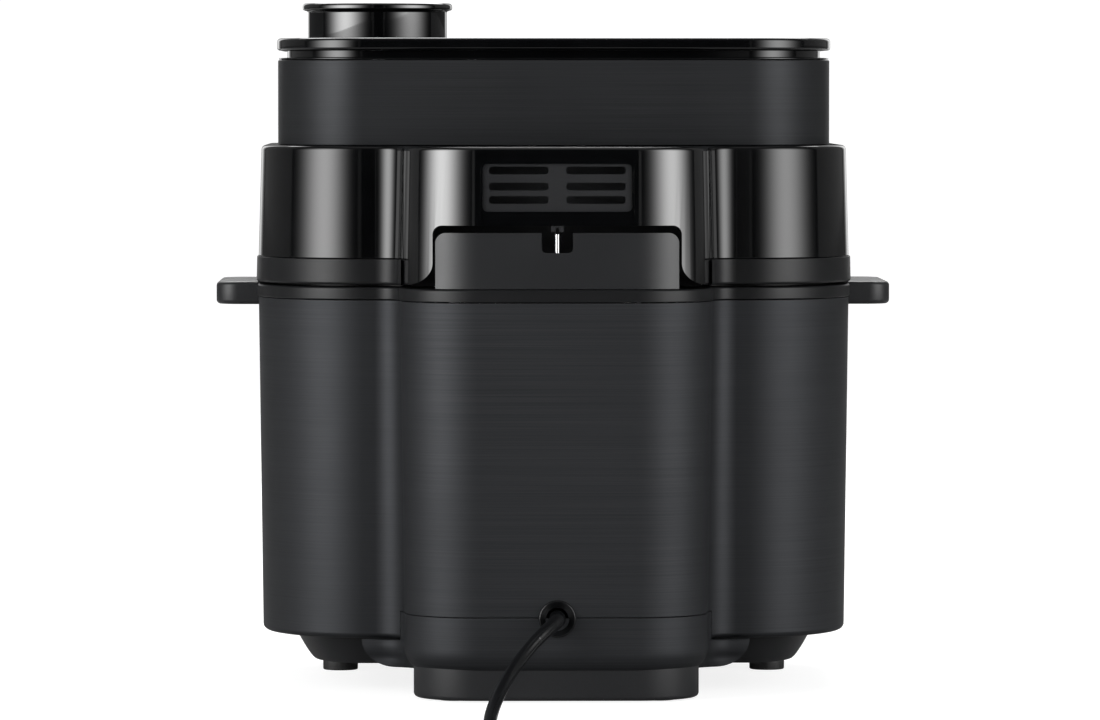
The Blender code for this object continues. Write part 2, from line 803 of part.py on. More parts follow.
def vent_grille():
    plate = round_box(-0.0401, 0.0401, 0.2656, 0.2917, 0.0025, 2)
    obj = make_object("vent_grille", front_prism(plate, 0.1555, 0.1575), matte_black())
    slots = []
    for x in (-0.0208, 0.0208):
        for z in (0.2718, 0.2790, 0.2877):
            outline = round_box(x - 0.0161, x + 0.0161, z - 0.0021, z + 0.0021, 0.0012, 1)
            slots.append(front_prism(outline, 0.15, 0.165))
    boolean(obj, cutter("cut_grille_slots", many(slots)))
    return obj


def lid_top_parts():
    band = [
        (lid_outline(BAND_INSET + WALL), SKIRT_TOP + GAP),
        (lid_outline(BAND_INSET), SKIRT_TOP + GAP),
        (lid_outline(BAND_INSET), BAND_TOP),
        (lid_outline(BAND_INSET + WALL), BAND_TOP),
    ]
    make_object("lid_upper_band", stack(band, ring=True), brushed_black())
    neck = [
        (lid_outline(NECK_INSET + WALL), BAND_TOP + GAP),
        (lid_outline(BAND_INSET + 0.0005), BAND_TOP + GAP),
        (lid_outline(BAND_INSET + 0.0005), BAND_TOP + 0.0012),
        (lid_outline(NECK_INSET), BAND_TOP + 0.0012),
        (lid_outline(NECK_INSET), NECK_TOP),
        (lid_outline(NECK_INSET + WALL), NECK_TOP),
    ]
    make_object("lid_neck", stack(neck, ring=True), gloss_black())
    plate = [
        (lid_outline(PLATE_INSET + 0.0030 + WALL), NECK_TOP + 0.0030),
        (lid_outline(PLATE_INSET + 0.0030 + WALL), NECK_TOP + GAP),
        (lid_outline(PLATE_INSET + 0.0012), NECK_TOP + GAP),
        (lid_outline(PLATE_INSET), NECK_TOP + 0.0020),
        (lid_outline(PLATE_INSET), PLATE_TOP - 0.0018),
        (lid_outline(PLATE_INSET + 0.0018), PLATE_TOP),
    ]
    obj = make_object("lid_top_plate", stack(plate), gloss_black())
    hole = turned(disc_profile(0.0065, 0.34, 0.37), 20)
    boolean(obj, cutter("cut_dial_hole", hole, (DIAL_X, POT_Y, 0)))
    hole = turned(disc_profile(0.0035, 0.34, 0.37), 16)
    boolean(obj, cutter("cut_float_hole", hole, (FLOAT_X, POT_Y, 0)))


# ---------------------------------------------------------------- lid: inside
def lid_inner_parts():
    plate = make_object("lid_bottom_plate", prism(lid_outline(0.0036), 0.2277, 0.2302), matte_black())
    hole = turned(disc_profile(0.1225, 0.22, 0.24))
    boolean(plate, cutter("cut_plate_hole", hole, (0, POT_Y, 0)))
    boolean(plate, box_cutter("cut_tongue", (-0.012, 0.012), (-0.165, -0.1530), (0.22, 0.24)))
    chamber = [
        (0.1165, 0.2305),
        (0.1250, 0.2305),
        (0.1250, 0.2315),
        (0.1175, 0.2315),
        (0.1175, 0.2860),
        (0.1120, 0.2915),
        (0.0085, 0.2915),
        (0.0085, 0.2905),
        (0.1115, 0.2905),
        (0.1165, 0.2855),
    ]
    shell = make_object("lid_inner_shell", turned(chamber), steel(), (0, POT_Y, 0))
    holes = [turned(disc_profile(0.0045, 0.28, 0.30), 12), turned(disc_profile(0.0035, 0.28, 0.30), 12)]
    boolean(shell, cutter("cut_valve_hole", holes[0], (DIAL_X, POT_Y, 0)))
    boolean(shell, cutter("cut_float_seat", holes[1], (FLOAT_X, POT_Y, 0)))
    gasket = [(0.1128, 0.2273), (0.1192, 0.2273), (0.1192, 0.2301), (0.1150, 0.2301)]
    make_object("lid_gasket", turned(gasket), silicone(), (0, POT_Y, 0))
    motor = [(0.0045, 0.2920), (0.028, 0.2920), (0.028, 0.330), (0.010, 0.336), (0.0045, 0.336)]
    make_object("fan_motor", turned(motor, 32), steel(), (0, POT_Y, 0))
    coil = arc(0.086, 0.262, 0.0035, 0, 300, 5)
    make_object("heating_element", turned(coil, 32), steel(), (0, POT_Y, 0))
    valve = ring_profile(0.0025, 0.0040, 0.2870, 0.3660)
    make_object("steam_valve_tube", turned(valve, 16), steel(), (DIAL_X, POT_Y, 0))


def element_guard():
    """A spoked disc below the element and the fan."""
    disc = turned(disc_profile(0.1155, 0.2500, 0.2512))
    obj = make_object("element_guard", disc, steel(), (0, POT_Y, 0))
    windows = []
    for k in range(8):
        start, end = 45 * k + 3, 45 * k + 42
        for inner, outer in ((0.020, 0.060), (0.066, 0.108)):
            outline = arc(0, 0, outer, start, end, 4) + arc(0, 0, inner, end, start, 2)
            windows.append(prism(outline, 0.24, 0.26))
    boolean(obj, cutter("cut_guard", many(windows), (0, POT_Y, 0)))


def crisping_fan():
    hub = pivot("fan_axis", (0, POT_Y, 0.275))
    blades = 8
    points = []
    for k in range(blades):
        angle = 360 / blades * k
        points += arc(0, 0, 0.012, angle - 14, angle - 6, 1)
        points += arc(0, 0, 0.052, angle + 8, angle + 22, 2)
        points += arc(0, 0, 0.012, angle + 6, angle + 14, 1)
    obj = make_object("crisping_fan", prism(points, -0.001, 0.001), aluminium(), parent=hub)
    shaft = turned(disc_profile(0.0038, -0.004, 0.052), 12)
    boolean(obj, make_object("fan_shaft_shape", shaft, aluminium(), parent=hub), "UNION")


def lid_hinge_arms():
    for side, sign in (("left", -1), ("right", 1)):
        x0, x1 = sorted((sign * 0.034, sign * 0.042))
        arm = arc(HINGE_Y, HINGE_Z, KNUCKLE_R, -100, 100, 8)
        arm += [(0.1000, 0.2400), (0.0940, 0.2380), (0.0940, 0.2305), (0.1020, 0.2305), (0.1050, 0.2290)]
        name = f"lid_hinge_arm_{side}"
        obj = make_object(name, side_prism(arm, x0, x1), steel())
        hole = turned(disc_profile(HINGE_PIN_R + GAP, x0 - 0.01, x1 + 0.01), 16, "X")
        boolean(obj, cutter(f"cut_{name}", hole, (0, HINGE_Y, HINGE_Z)))
    low, bridge, high = 0.2546, OPENING_TOP - 0.0012, OPENING_TOP - GAP
    fork = [(0.0010, bridge), (0.0010, low), (0.0034, low), (0.0034, high)]
    fork += [(-x, z) for x, z in reversed(fork)]
    make_object("lid_fork", front_prism(fork, 0.1578, 0.1606), matte_black())


# ---------------------------------------------------------------- lid: controls
def steam_dial():
    axis = pivot("dial_axis", (DIAL_X, POT_Y, PLATE_TOP))
    top = DIAL_TOP - PLATE_TOP
    profile = [
        (0, 0.0075),
        (DIAL_R - 0.0025, 0.0075),
        (DIAL_R - 0.0025, GAP),
        (DIAL_R, GAP),
        (DIAL_R, top - 0.0045),
        (DIAL_RIM_R - 0.0006, top - 0.0040),
        (DIAL_RIM_R, top - 0.0030),
        (DIAL_RIM_R - 0.0006, top - 0.0010),
        (DIAL_RIM_R - 0.0020, top),
        (DIAL_RIM_R - 0.0050, top),
        (DIAL_RIM_R - 0.0060, top - 0.0015),
        (0, top - 0.0015),
    ]
    make_object("steam_dial", turned(profile), gloss_black(), parent=axis)


def float_valve():
    seat = pivot("float_seat", (FLOAT_X, POT_Y, 0.2850))
    profile = [(0, 0), (0.006, 0), (0.006, 0.0015), (0.003, 0.0015), (0.003, 0.0735), (0, 0.0735)]
    make_object("float_valve", turned(profile, 16), steel(), parent=seat)


def lid_release():
    seat = pivot("release_seat", (0, PLAN_FRONT, 0.2338))
    shape = round_box(-0.020, 0.020, -0.0032, 0.0032, 0.0028, 3)
    make_object("lid_release_button", front_prism(shape, 0.0002, 0.0037), matte_black(), parent=seat)
    tongue = [(0.0040, -0.0032), (0.0062, -0.0032), (0.0062, -0.0205)]
    tongue += [(0.0050, -0.0205), (0.0040, -0.0190)]
    make_object("latch_tongue", side_prism(tongue, -0.010, 0.010), steel(), parent=seat)


# ---------------------------------------------------------------- cord
def smooth(points, per_span=2):
    """Points on a Catmull-Rom curve through a route."""
    ends = [points[0] * 2 - points[1], *points, points[-1] * 2 - points[-2]]
    found = []
    for a, b, c, d in zip(ends, ends[1:], ends[2:], ends[3:]):
        for k in range(per_span):
            t = k / per_span
            square = (2 * a - 5 * b + 4 * c - d) * t**2
            cube = (3 * b - a - 3 * c + d) * t**3
            found.append(0.5 * (2 * b + (c - a) * t + square + cube))
    return found + [points[-1]]


def tube(name, points, diameter, mat, sizes=None):
    """A round tube along points; sizes scale its radius at each point."""
    curve = bpy.data.curves.new(name, "CURVE")
    curve.dimensions = "3D"
    curve.bevel_depth = diameter / 2
    curve.bevel_resolution = 2
    curve.use_fill_caps = True
    spline = curve.splines.new("POLY")
    spline.points.add(len(points) - 1)
    for i, point in enumerate(points):
        spline.points[i].co = (*point, 1.0)
        spline.points[i].radius = sizes[i] if sizes else 1.0
    curve.materials.append(mat)
    obj = bpy.data.objects.new(name, curve)
    bpy.context.collection.objects.link(obj)
    return obj


def cord_parts():
    """The bush in the seam, the strain relief and the free cord up to its coil."""
    ring = [
        (0.0055, -0.0030),
        (0.0085, -0.0030),
        (0.0085, 0.0000),
        (0.0105, 0.0000),
        (0.0105, 0.0006),
        (0.0070, 0.0016),
        (0.0055, 0.0004),
    ]
    rear = LOBE_REAR - housing_inset(BUSH_Z) + GAP
    make_object("cord_bush", turned(ring, 24, "Y"), matte_black(), (0, rear, BUSH_Z))
    route = [Vector(point) for point in CORD_ROUTE]
    relief = smooth(route[:RELIEF_POINTS])
    start = Vector((0, rear - 0.006, BUSH_Z))
    relief = [start] + relief
    steps = len(relief) - 1
    sizes = [1.40 - 0.30 * i / steps for i in range(steps + 1)]
    tube("strain_relief", relief, CORD_D, rubber_black(), sizes)
    free = smooth(route[RELIEF_POINTS - 1 :])
    step = (free[1] - free[0]).normalized()
    free[0] = free[0] + step * GAP
    tube("power_cord", free, CORD_D, cord_black())


def cord_end():
    """The coil as one flat ring, and the cord from it to the plug."""
    inner, outer = COIL_RADII
    low, high = CORD_LAY - CORD_D / 2, CORD_LAY + CORD_D / 2
    coil = turned(ring_profile(inner, outer, low, high), 40)
    make_object("cord_coil", coil, cord_black(), (*COIL_CENTRE, 0))
    x, y = PLUG_PLACE
    route = [
        (0.0600, 0.4980, CORD_LAY),
        (0.0592, 0.5040, 0.0041),
        (0.0572, 0.5125, 0.0052),
        (0.0545, 0.5225, 0.0065),
        (x, y - 0.0308, PLUG_Z),
    ]
    tail = [Vector(point) for point in route]
    tube("cord_tail", smooth(tail), CORD_D, cord_black())


def mains_plug():
    x, y = PLUG_PLACE
    body = [
        (round_box(-0.0055, 0.0055, -0.0055, 0.0055, 0.004), -0.0295),
        (round_box(-0.0065, 0.0065, -0.0060, 0.0060, 0.004), -0.0160),
        (round_box(-0.0125, 0.0125, -0.0070, 0.0070, 0.004), -0.0100),
        (round_box(-0.0140, 0.0140, -0.0070, 0.0070, 0.004), 0.0100),
        (round_box(-0.0120, 0.0120, -0.0062, 0.0062, 0.004), 0.0120),
    ]
    obj = make_object("mains_plug", stack(body), matte_black())
    obj.rotation_euler = (-math.pi / 2, 0, 0)
    obj.location = (x, y, PLUG_Z)
    pin = turned(disc_profile(0.0020, 0.008, 0.030, 0.0006), 12, "Y")
    for sign in (-1, 1):
        boolean(obj, cutter(f"pin_{sign}", pin, (x + sign * 0.0095, y, PLUG_Z)), "UNION")


def build():
    clear_scene()
    outer_housing()
    rear_lower_cover()
    rear_foot_block()
    bottom_pan()
    feet()
    base_rim()
    side_handles()
    pot_parts()
    sensor_parts()
    boards()
    hinge_cover()
    hinge_parts()
    control_panel()
    panel_buttons()
    lid_skirt()
    lid_ring()
    lid_rear_panel()
    vent_grille()
    lid_top_parts()
    lid_inner_parts()
    element_guard()
    crisping_fan()
    lid_hinge_arms()
    steam_dial()
    float_valve()
    lid_release()
    cord_parts()
    cord_end()
    mains_plug()


build()
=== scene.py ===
"""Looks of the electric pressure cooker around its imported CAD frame."""

import math

import bmesh
import bpy
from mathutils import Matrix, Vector


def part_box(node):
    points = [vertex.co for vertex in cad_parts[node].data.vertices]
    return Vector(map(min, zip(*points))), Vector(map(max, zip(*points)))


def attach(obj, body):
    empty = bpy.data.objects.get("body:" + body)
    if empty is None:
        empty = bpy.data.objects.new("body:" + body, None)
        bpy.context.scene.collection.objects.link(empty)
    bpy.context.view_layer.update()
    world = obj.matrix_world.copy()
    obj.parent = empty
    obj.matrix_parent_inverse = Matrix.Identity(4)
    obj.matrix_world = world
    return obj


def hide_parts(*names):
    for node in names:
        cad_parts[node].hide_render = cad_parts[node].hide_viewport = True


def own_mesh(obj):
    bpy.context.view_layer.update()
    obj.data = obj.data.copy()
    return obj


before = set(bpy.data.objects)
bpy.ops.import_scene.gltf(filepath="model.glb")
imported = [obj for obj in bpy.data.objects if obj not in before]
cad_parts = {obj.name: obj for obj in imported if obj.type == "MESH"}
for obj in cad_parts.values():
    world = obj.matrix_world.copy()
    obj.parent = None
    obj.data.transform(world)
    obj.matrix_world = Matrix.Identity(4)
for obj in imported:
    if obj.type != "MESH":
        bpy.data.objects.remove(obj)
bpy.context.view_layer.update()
scene = bpy.context.scene

# ---------------- driving dimensions, metres
GAP = 0.0003  # between neighbouring pieces
SEAM = 0.00012  # the finest joint that shows
WALL = 0.0022
STEPS = 18  # facets in a plan corner
SMOOTH_ANGLE = math.radians(32)  # an edge that turns more breaks the shading
BEVEL_ANGLE = math.radians(35)  # an edge that turns more is softened
BEVELLED_ANGLE = math.radians(48)  # SMOOTH_ANGLE for softened pieces

PLAN_HALF_W = 0.1655
PLAN_FRONT = -0.162
PLAN_REAR = 0.105
LOBE_HALF_W = 0.086
LOBE_REAR = 0.1626
R_FRONT = 0.062
R_REAR = (0.0600, 0.080)  # an ellipse, across and along
R_FILLET = 0.013
R_LOBE = 0.044

SIDE_BOTTOM = 0.031
COVER_LINE = 0.0465
HOUSING_TOP = 0.2163
RIM_TOP = 0.2235
RING_BOTTOM = 0.2248
RING_TOP = 0.239
SKIRT_TOP = 0.3004
BAND_BOTTOM = SKIRT_TOP + GAP
BAND_TOP = 0.3475
NECK_TOP = 0.3525
PLATE_TOP = 0.3595
DIAL_TOP = 0.3795
PAN_BOTTOM = 0.015
LOBE_BOTTOM = 0.017
COVER_REACH = 0.0850  # half the lower cover's width between the side bulges
FLARE_REACH = (0.0880, 0.1062)  # the same below the bulges, at its bottom edge and at its top
COVER_BOTTOM = 0.0152
BLOCK_CORNER = 0.0425

HOUSING_INSET_TOP = 0.0012
HOUSING_INSET_BOTTOM = 0.0036
RIM_INSET = 0.0006
SKIRT_INSET_BOTTOM = 0.0012
SKIRT_INSET_TOP = 0.0029
BAND_INSET = 0.0121
NECK_INSET = 0.0173
PLATE_INSET = 0.0116
PANEL_HALF_W = 0.0835
PANEL_FRONT = 0.070
RING_CUT_HALF_W = PANEL_HALF_W + 0.0010

GRIP_HALF_W = 0.1885
GRIP_Y = (-0.090, 0.015)
GRIP_Z = (0.2113, 0.2240)

FOOT_X = (-0.1233, 0.1204)
FOOT_Y = -0.070
PAD_X = 0.055
PAD_Y = 0.133

POT_Y = -0.028
POT_AXIS = (0, POT_Y, 0)
POT_R = 0.1125
POT_RIM_R = 0.1215
POT_WALL = 0.0015
RIM_HOLE_R = 0.1185

HINGE_COVER_HALF_W = 0.0658
HINGE_COVER_TOP = 0.254
OPENING_HALF_W = 0.0673
OPENING_TOP = 0.258
FLARE_SIZE = (0.0158, 0.0122)  # of the opening's foot, across and up
NOTCH_HALF_W = 0.0085
NOTCH_BOTTOM = 0.2432
PIN_R = 0.0013
PIN_Y = 0.1555
ARM_X = 0.038
RECESS_HALF_W = 0.0412  # around the grille
RECESS_TOP = 0.2923
WINDOW_HALF_W = 0.0404
WINDOW_Z = (0.2653, 0.2915)
SLOT_X = 0.0208
SLOT_Z = (0.2718, 0.2790, 0.2877)

DIAL_R = 0.0391
DIAL_RIM_R = 0.0421
DIAL_AXIS = (0.0986, POT_Y, 0)
FLOAT_AXIS = (0.045, POT_Y, 0)

PANEL_X = 0.080
PANEL_Z = (0.068, 0.192)
PANEL_Y = (-0.1617, -0.1562)
LENS_X = 0.052
LENS_Z = (0.138, 0.180)
BUTTON_SIZE = (0.026, 0.014)
BUTTON_COLUMNS = (-0.046, 0.0, 0.046)
BUTTON_ROWS = (0.116, 0.088)

BUSH_Z = 0.0459
CORD_D = 0.007
CORD_LAY = 0.0037
COIL_CENTRE = (0.088, 0.447)
COIL_OUTER = 0.050
COIL_INNER = 0.028
COIL_TURNS = 3
PLUG_PLACE = (0.052, 0.563)
PLUG_Z = 0.0072

CAMERA_PLACE = (0.0595, 4.0, 0.3342)
CAMERA_TURN = (87.785, 0.0, 179.172)
CAMERA_LENS = 233.5
AIM = Vector((0, 0, 0.19))  # what the lights face


# ---------------- outlines
def arc(cx, cy, radius, start, end, steps, radius_y=None):
    """Points on an arc from start to end, in degrees; radius_y makes it elliptical."""
    tall = radius if radius_y is None else radius_y
    points = []
    for i in range(steps + 1):
        angle = math.radians(start + (end - start) * i / steps)
        points.append((cx + radius * math.cos(angle), cy + tall * math.sin(angle)))
    return points


def mirrored(right):
    """An outline from its right half, listed anticlockwise."""
    return right + [(-x, y) for x, y in reversed(right)]


def right_side(inset):
    """The right half of the plan without the lobe: a front corner and an elliptical rear corner."""
    half, front, rear = PLAN_HALF_W - inset, PLAN_FRONT + inset, PLAN_REAR - inset
    rf, rx, ry = R_FRONT - inset, R_REAR[0] - inset, R_REAR[1] - inset
    return arc(half - rf, front + rf, rf, -90, 0, STEPS) + arc(half - rx, rear - ry, rx, 0, 90, STEPS, ry)


def body_outline(inset):
    """The whole plan: a wide body with a lobe behind it."""
    rear, lobe, back = PLAN_REAR - inset, LOBE_HALF_W - inset, LOBE_REAR - inset
    corner, fillet = R_LOBE - inset, R_FILLET + inset
    right = right_side(inset)
    right += arc(lobe + fillet, rear + fillet, fillet, 270, 180, STEPS // 2)
    right += arc(lobe - corner, back - corner, corner, 0, 90, STEPS)
    return mirrored(right)


def lid_outline(inset):
    """The plan without the lobe."""
    return mirrored(right_side(inset))


def lobe_outline(inset, front, reach=0.0, corner=R_LOBE):
    """The lobe alone, closed at the front; its sides run into the fillets as far as X = reach."""
    half, back, radius = LOBE_HALF_W - inset, LOBE_REAR - inset, corner - inset
    fillet = R_FILLET + inset
    centre_x, base = half + fillet, max(PLAN_REAR - inset, front + 0.0005)
    if reach:
        share = (centre_x - reach) / fillet
        start = 180 + math.degrees(math.acos(min(max(share, 0.0), 1.0)))
        curve = arc(centre_x, base + fillet, fillet, start, 180, 8)
        right = [(reach, front), (reach, (front + curve[0][1]) / 2)] + curve
    else:
        right = [(half, front)] + [(half, base + (back - radius - base) * k / 10) for k in range(10)]
    right += arc(half - radius, back - radius, radius, 0, 90, STEPS)
    return mirrored(right)


def shoulder_outline(inset):
    """The lobeless plan with as many points as body_outline."""
    right = right_side(inset)
    extra = STEPS // 2 + 1 + STEPS + 1
    edge = right[-1][0]
    right += [(edge * (1 - (k + 1) / (extra + 1)), PLAN_REAR - inset) for k in range(extra)]
    return mirrored(right)


def round_box(x0, x1, y0, y1, radius, steps=6):
    """A rectangle with rounded corners."""
    points = arc(x1 - radius, y0 + radius, radius, -90, 0, steps)
    points += arc(x1 - radius, y1 - radius, radius, 0, 90, steps)
    points += arc(x0 + radius, y1 - radius, radius, 90, 180, steps)
    return points + arc(x0 + radius, y0 + radius, radius, 180, 270, steps)


def rounded(corners, steps=5):
    """A closed outline with an arc at each corner, given as (a, b, radius)."""
    points = []
    count = len(corners)
    for i, (a, b, radius) in enumerate(corners):
        if radius == 0:
            points.append((a, b))
            continue
        here = Vector((a, b))
        back = Vector(corners[i - 1][:2]) - here
        ahead = Vector(corners[(i + 1) % count][:2]) - here
        half = back.angle(ahead) / 2
        reach = min(radius / math.tan(half), 0.49 * back.length, 0.49 * ahead.length)
        size = reach * math.tan(half)
        u, v = back.normalized(), ahead.normalized()
        centre = here + (u + v).normalized() * size / math.sin(half)
        first, last = here + u * reach - centre, here + v * reach - centre
        start = math.atan2(first.y, first.x)
        turn = (math.atan2(last.y, last.x) - start + math.pi) % (2 * math.pi) - math.pi
        for k in range(steps + 1):
            angle = start + turn * k / steps
            points.append((centre.x + size * math.cos(angle), centre.y + size * math.sin(angle)))
    return points


# ---------------- mesh makers
def new_object(name, bm):
    """A mesh object with smooth shading, broken at sharp edges."""
    bmesh.ops.remove_doubles(bm, verts=bm.verts, dist=1e-7)
    bmesh.ops.recalc_face_normals(bm, faces=bm.faces)
    mesh = bpy.data.meshes.new(name)
    bm.to_mesh(mesh)
    bm.free()
    mesh.shade_smooth()
    mesh.set_sharp_from_angle(angle=SMOOTH_ANGLE)
    obj = bpy.data.objects.new(name, mesh)
    scene.collection.objects.link(obj)
    return obj


def skin(name, rows, ring=False):
    """Faces between rows of equally many points; without ring, the first and last rows are closed."""
    bm = bmesh.new()
    made = [[bm.verts.new(point) for point in row] for row in rows]
    pairs = list(zip(made, made[1:]))
    if ring:
        pairs.append((made[-1], made[0]))
    else:
        bm.faces.new(made[0])
        bm.faces.new(made[-1])
    for low, high in pairs:
        for i in range(len(low)):
            j = (i + 1) % len(low)
            bm.faces.new((low[i], low[j], high[j], high[i]))
    return new_object(name, bm)


def wrap(name, outline, profile, ring=True):
    """A wall that follows a plan outline; the profile lists (inset, height)."""
    rows = []
    for inset, z in profile:
        rows.append([(x, y, z) for x, y in outline(inset)])
    return skin(name, rows, ring)


def prism(name, outline, low, high, axis="Z"):
    """An outline drawn out along Z, or along Y when it is given in X and Z."""
    rows = []
    for c in (low, high):
        rows.append([(a, c, b) if axis == "Y" else (a, b, c) for a, b in outline])
    return skin(name, rows)


def turned(name, profile, place=(0, 0, 0), axis="Z", steps=96):
    """A closed profile of (radius, height) turned about an axis, Z or Y, through place."""
    bm = bmesh.new()
    made = []
    for i in range(steps):
        angle = 2 * math.pi * i / steps
        row = []
        for radius, along in profile:
            a, b = radius * math.cos(angle), radius * math.sin(angle)
            spot = (a, along, -b) if axis == "Y" else (a, b, along)
            row.append(bm.verts.new([p + q for p, q in zip(spot, place)]))
        made.append(row)
    for i in range(steps):
        here, after = made[i], made[(i + 1) % steps]
        for j in range(len(profile)):
            k = (j + 1) % len(profile)
            if profile[j][0] == 0 and profile[k][0] == 0:
                continue
            bm.faces.new((here[j], here[k], after[k], after[j]))
    return new_object(name, bm)


def swept(name, points, radii, sides=24):
    """A tube along points, with its own radius at each."""
    points = [Vector(p) for p in points]
    rows = []
    side = Vector((1, 0, 0))
    for i, point in enumerate(points):
        ahead = points[min(i + 1, len(points) - 1)] - points[max(i - 1, 0)]
        ahead.normalize()
        side = (side - ahead * side.dot(ahead)).normalized()
        up = ahead.cross(side)
        row = []
        for k in range(sides):
            angle = 2 * math.pi * k / sides
            row.append(point + (side * math.cos(angle) + up * math.sin(angle)) * radii[i])
        rows.append(row)
    return skin(name, rows)


def box(name, x, y, z):
    """A block between two limits along each axis."""
    return prism(name, [(x[0], y[0]), (x[1], y[0]), (x[1], y[1]), (x[0], y[1])], *z)


def drill(radius, low, high, place, steps, axis="Z"):
    """A round cutting tool between two heights along an axis through place."""
    return turned("tool", [(0, low), (radius, low), (radius, high), (0, high)], place, axis, steps)


def lobe_cutter(half):
    """A cutting tool for the rear part of the lid's walls, as wide as the rear panel needs."""
    return box("tool", (-half, half), (PANEL_FRONT, 0.2), (0.2, 0.32))


def rounded_edge(height, radius, direction):
    """(height, inset) pairs of an edge rounded upwards (1) or downwards (-1) from height."""
    levels, steps = [], 6
    for k in range(steps + 1):
        angle = math.radians(90 * k / steps)
        levels.append((height + direction * radius * (1 - math.cos(angle)), radius * (1 - math.sin(angle))))
    return levels


def settle(obj):
    """Bakes an object's modifiers into its mesh."""
    bpy.context.view_layer.update()
    shaped = obj.evaluated_get(bpy.context.evaluated_depsgraph_get())
    mesh = bpy.data.meshes.new_from_object(shaped)
    obj.modifiers.clear()
    obj.data = mesh


def carve(obj, *tools, operation="DIFFERENCE"):
    """Cuts tools out of an object, or keeps what they share, then removes them."""
    for tool in tools:
        cut = obj.modifiers.new("cut", "BOOLEAN")
        cut.operation = operation
        cut.solver = "EXACT"
        cut.object = tool
        settle(obj)
        bpy.data.objects.remove(tool, do_unlink=True)
    obj.data.shade_smooth()
    obj.data.set_sharp_from_angle(angle=SMOOTH_ANGLE)
    return obj


def soften(obj, width, segments=2):
    """Rounds the sharp edges."""
    edge = obj.modifiers.new("edges", "BEVEL")
    edge.width = width
    edge.segments = segments
    edge.limit_method = "ANGLE"
    edge.angle_limit = BEVEL_ANGLE
    edge.use_clamp_overlap = True
    settle(obj)
    obj.data.shade_smooth()
    obj.data.set_sharp_from_angle(angle=BEVELLED_ANGLE)
    weigh = obj.modifiers.new("normals", "WEIGHTED_NORMAL")
    weigh.keep_sharp = True
    return obj


def smooth(points, per_span):
    """Points on a Catmull-Rom curve through a route."""
    points = [Vector(p) for p in points]
    ends = [points[0] * 2 - points[1], *points, points[-1] * 2 - points[-2]]
    found = []
    for a, b, c, d in zip(ends, ends[1:], ends[2:], ends[3:]):
        for k in range(per_span):
            t = k / per_span
            curve = 2 * b + (c - a) * t + (2 * a - 5 * b + 4 * c - d) * t**2
            found.append(0.5 * (curve + (3 * b - a - 3 * c + d) * t**3))
    return found + [points[-1]]


# ---------------- materials
def fill(node, values):
    """Sets a node's unlinked inputs."""
    for key, value in values.items():
        node.inputs[key].default_value = value


class Graph:
    """Short names for building one material's nodes."""

    def __init__(self, name):
        self.material = bpy.data.materials.new(name)
        self.material.use_nodes = True
        self.tree = self.material.node_tree
        self.shader = self.tree.nodes["Principled BSDF"]
        self.where = self.tree.nodes.new("ShaderNodeTexCoord").outputs["Object"]

    def link(self, a, b):
        self.tree.links.new(a, b)

    def scaled(self, scale):
        """The object's coordinates, scaled."""
        node = self.tree.nodes.new("ShaderNodeMapping")
        fill(node, {"Scale": scale})
        self.link(self.where, node.inputs["Vector"])
        return node.outputs["Vector"]

    def noise(self, scale, detail=3.0):
        """Noise between about 0.3 and 0.7."""
        node = self.tree.nodes.new("ShaderNodeTexNoise")
        fill(node, {"Scale": 1.0, "Detail": detail, "Roughness": 0.55})
        self.link(self.scaled(scale), node.inputs["Vector"])
        return node.outputs["Fac"]

    def ranged(self, value, low, high):
        """Noise spread between two limits."""
        node = self.tree.nodes.new("ShaderNodeMapRange")
        fill(node, {"From Min": 0.3, "From Max": 0.7, "To Min": low, "To Max": high})
        self.link(value, node.inputs["Value"])
        return node.outputs["Result"]

    def tinted(self, value, dark, light):
        """A colour between two colours."""
        node = self.tree.nodes.new("ShaderNodeMix")
        node.data_type = "RGBA"
        fill(node, {"A": (*dark, 1), "B": (*light, 1)})
        self.link(value, node.inputs["Factor"])
        return node.outputs["Result"]

    def bump(self, value, strength):
        """A fine relief."""
        node = self.tree.nodes.new("ShaderNodeBump")
        fill(node, {"Strength": strength, "Distance": 0.0001})
        self.link(value, node.inputs["Height"])
        return node.outputs["Normal"]


def surface(name, dark, light, rough, grain, depth, smudge, metallic=0.0, specular=0.5):
    """A Principled finish with grain in its colour and relief, and smudges in its roughness."""
    g = Graph(name)
    fine = g.noise(grain if isinstance(grain, tuple) else (grain, grain, grain))
    broad = g.noise((21, 21, 21), 4)
    g.link(g.tinted(g.ranged(fine, 0, 1), dark, light), g.shader.inputs["Base Color"])
    g.link(g.ranged(broad, rough - smudge, rough + smudge), g.shader.inputs["Roughness"])
    g.link(g.bump(fine, depth), g.shader.inputs["Normal"])
    fill(g.shader, {"Metallic": metallic, "Specular IOR Level": specular})
    return g.material


# What two finishes share, twice.
DEEP_BLACK = {
    "dark": (0.0014, 0.0015, 0.0017),
    "light": (0.0024, 0.0025, 0.0028),
    "grain": 60,
    "depth": 0.004,
}
BRUSHED = {"grain": (9, 9, 2100), "depth": 0.12, "smudge": 0.03, "metallic": 0.75}

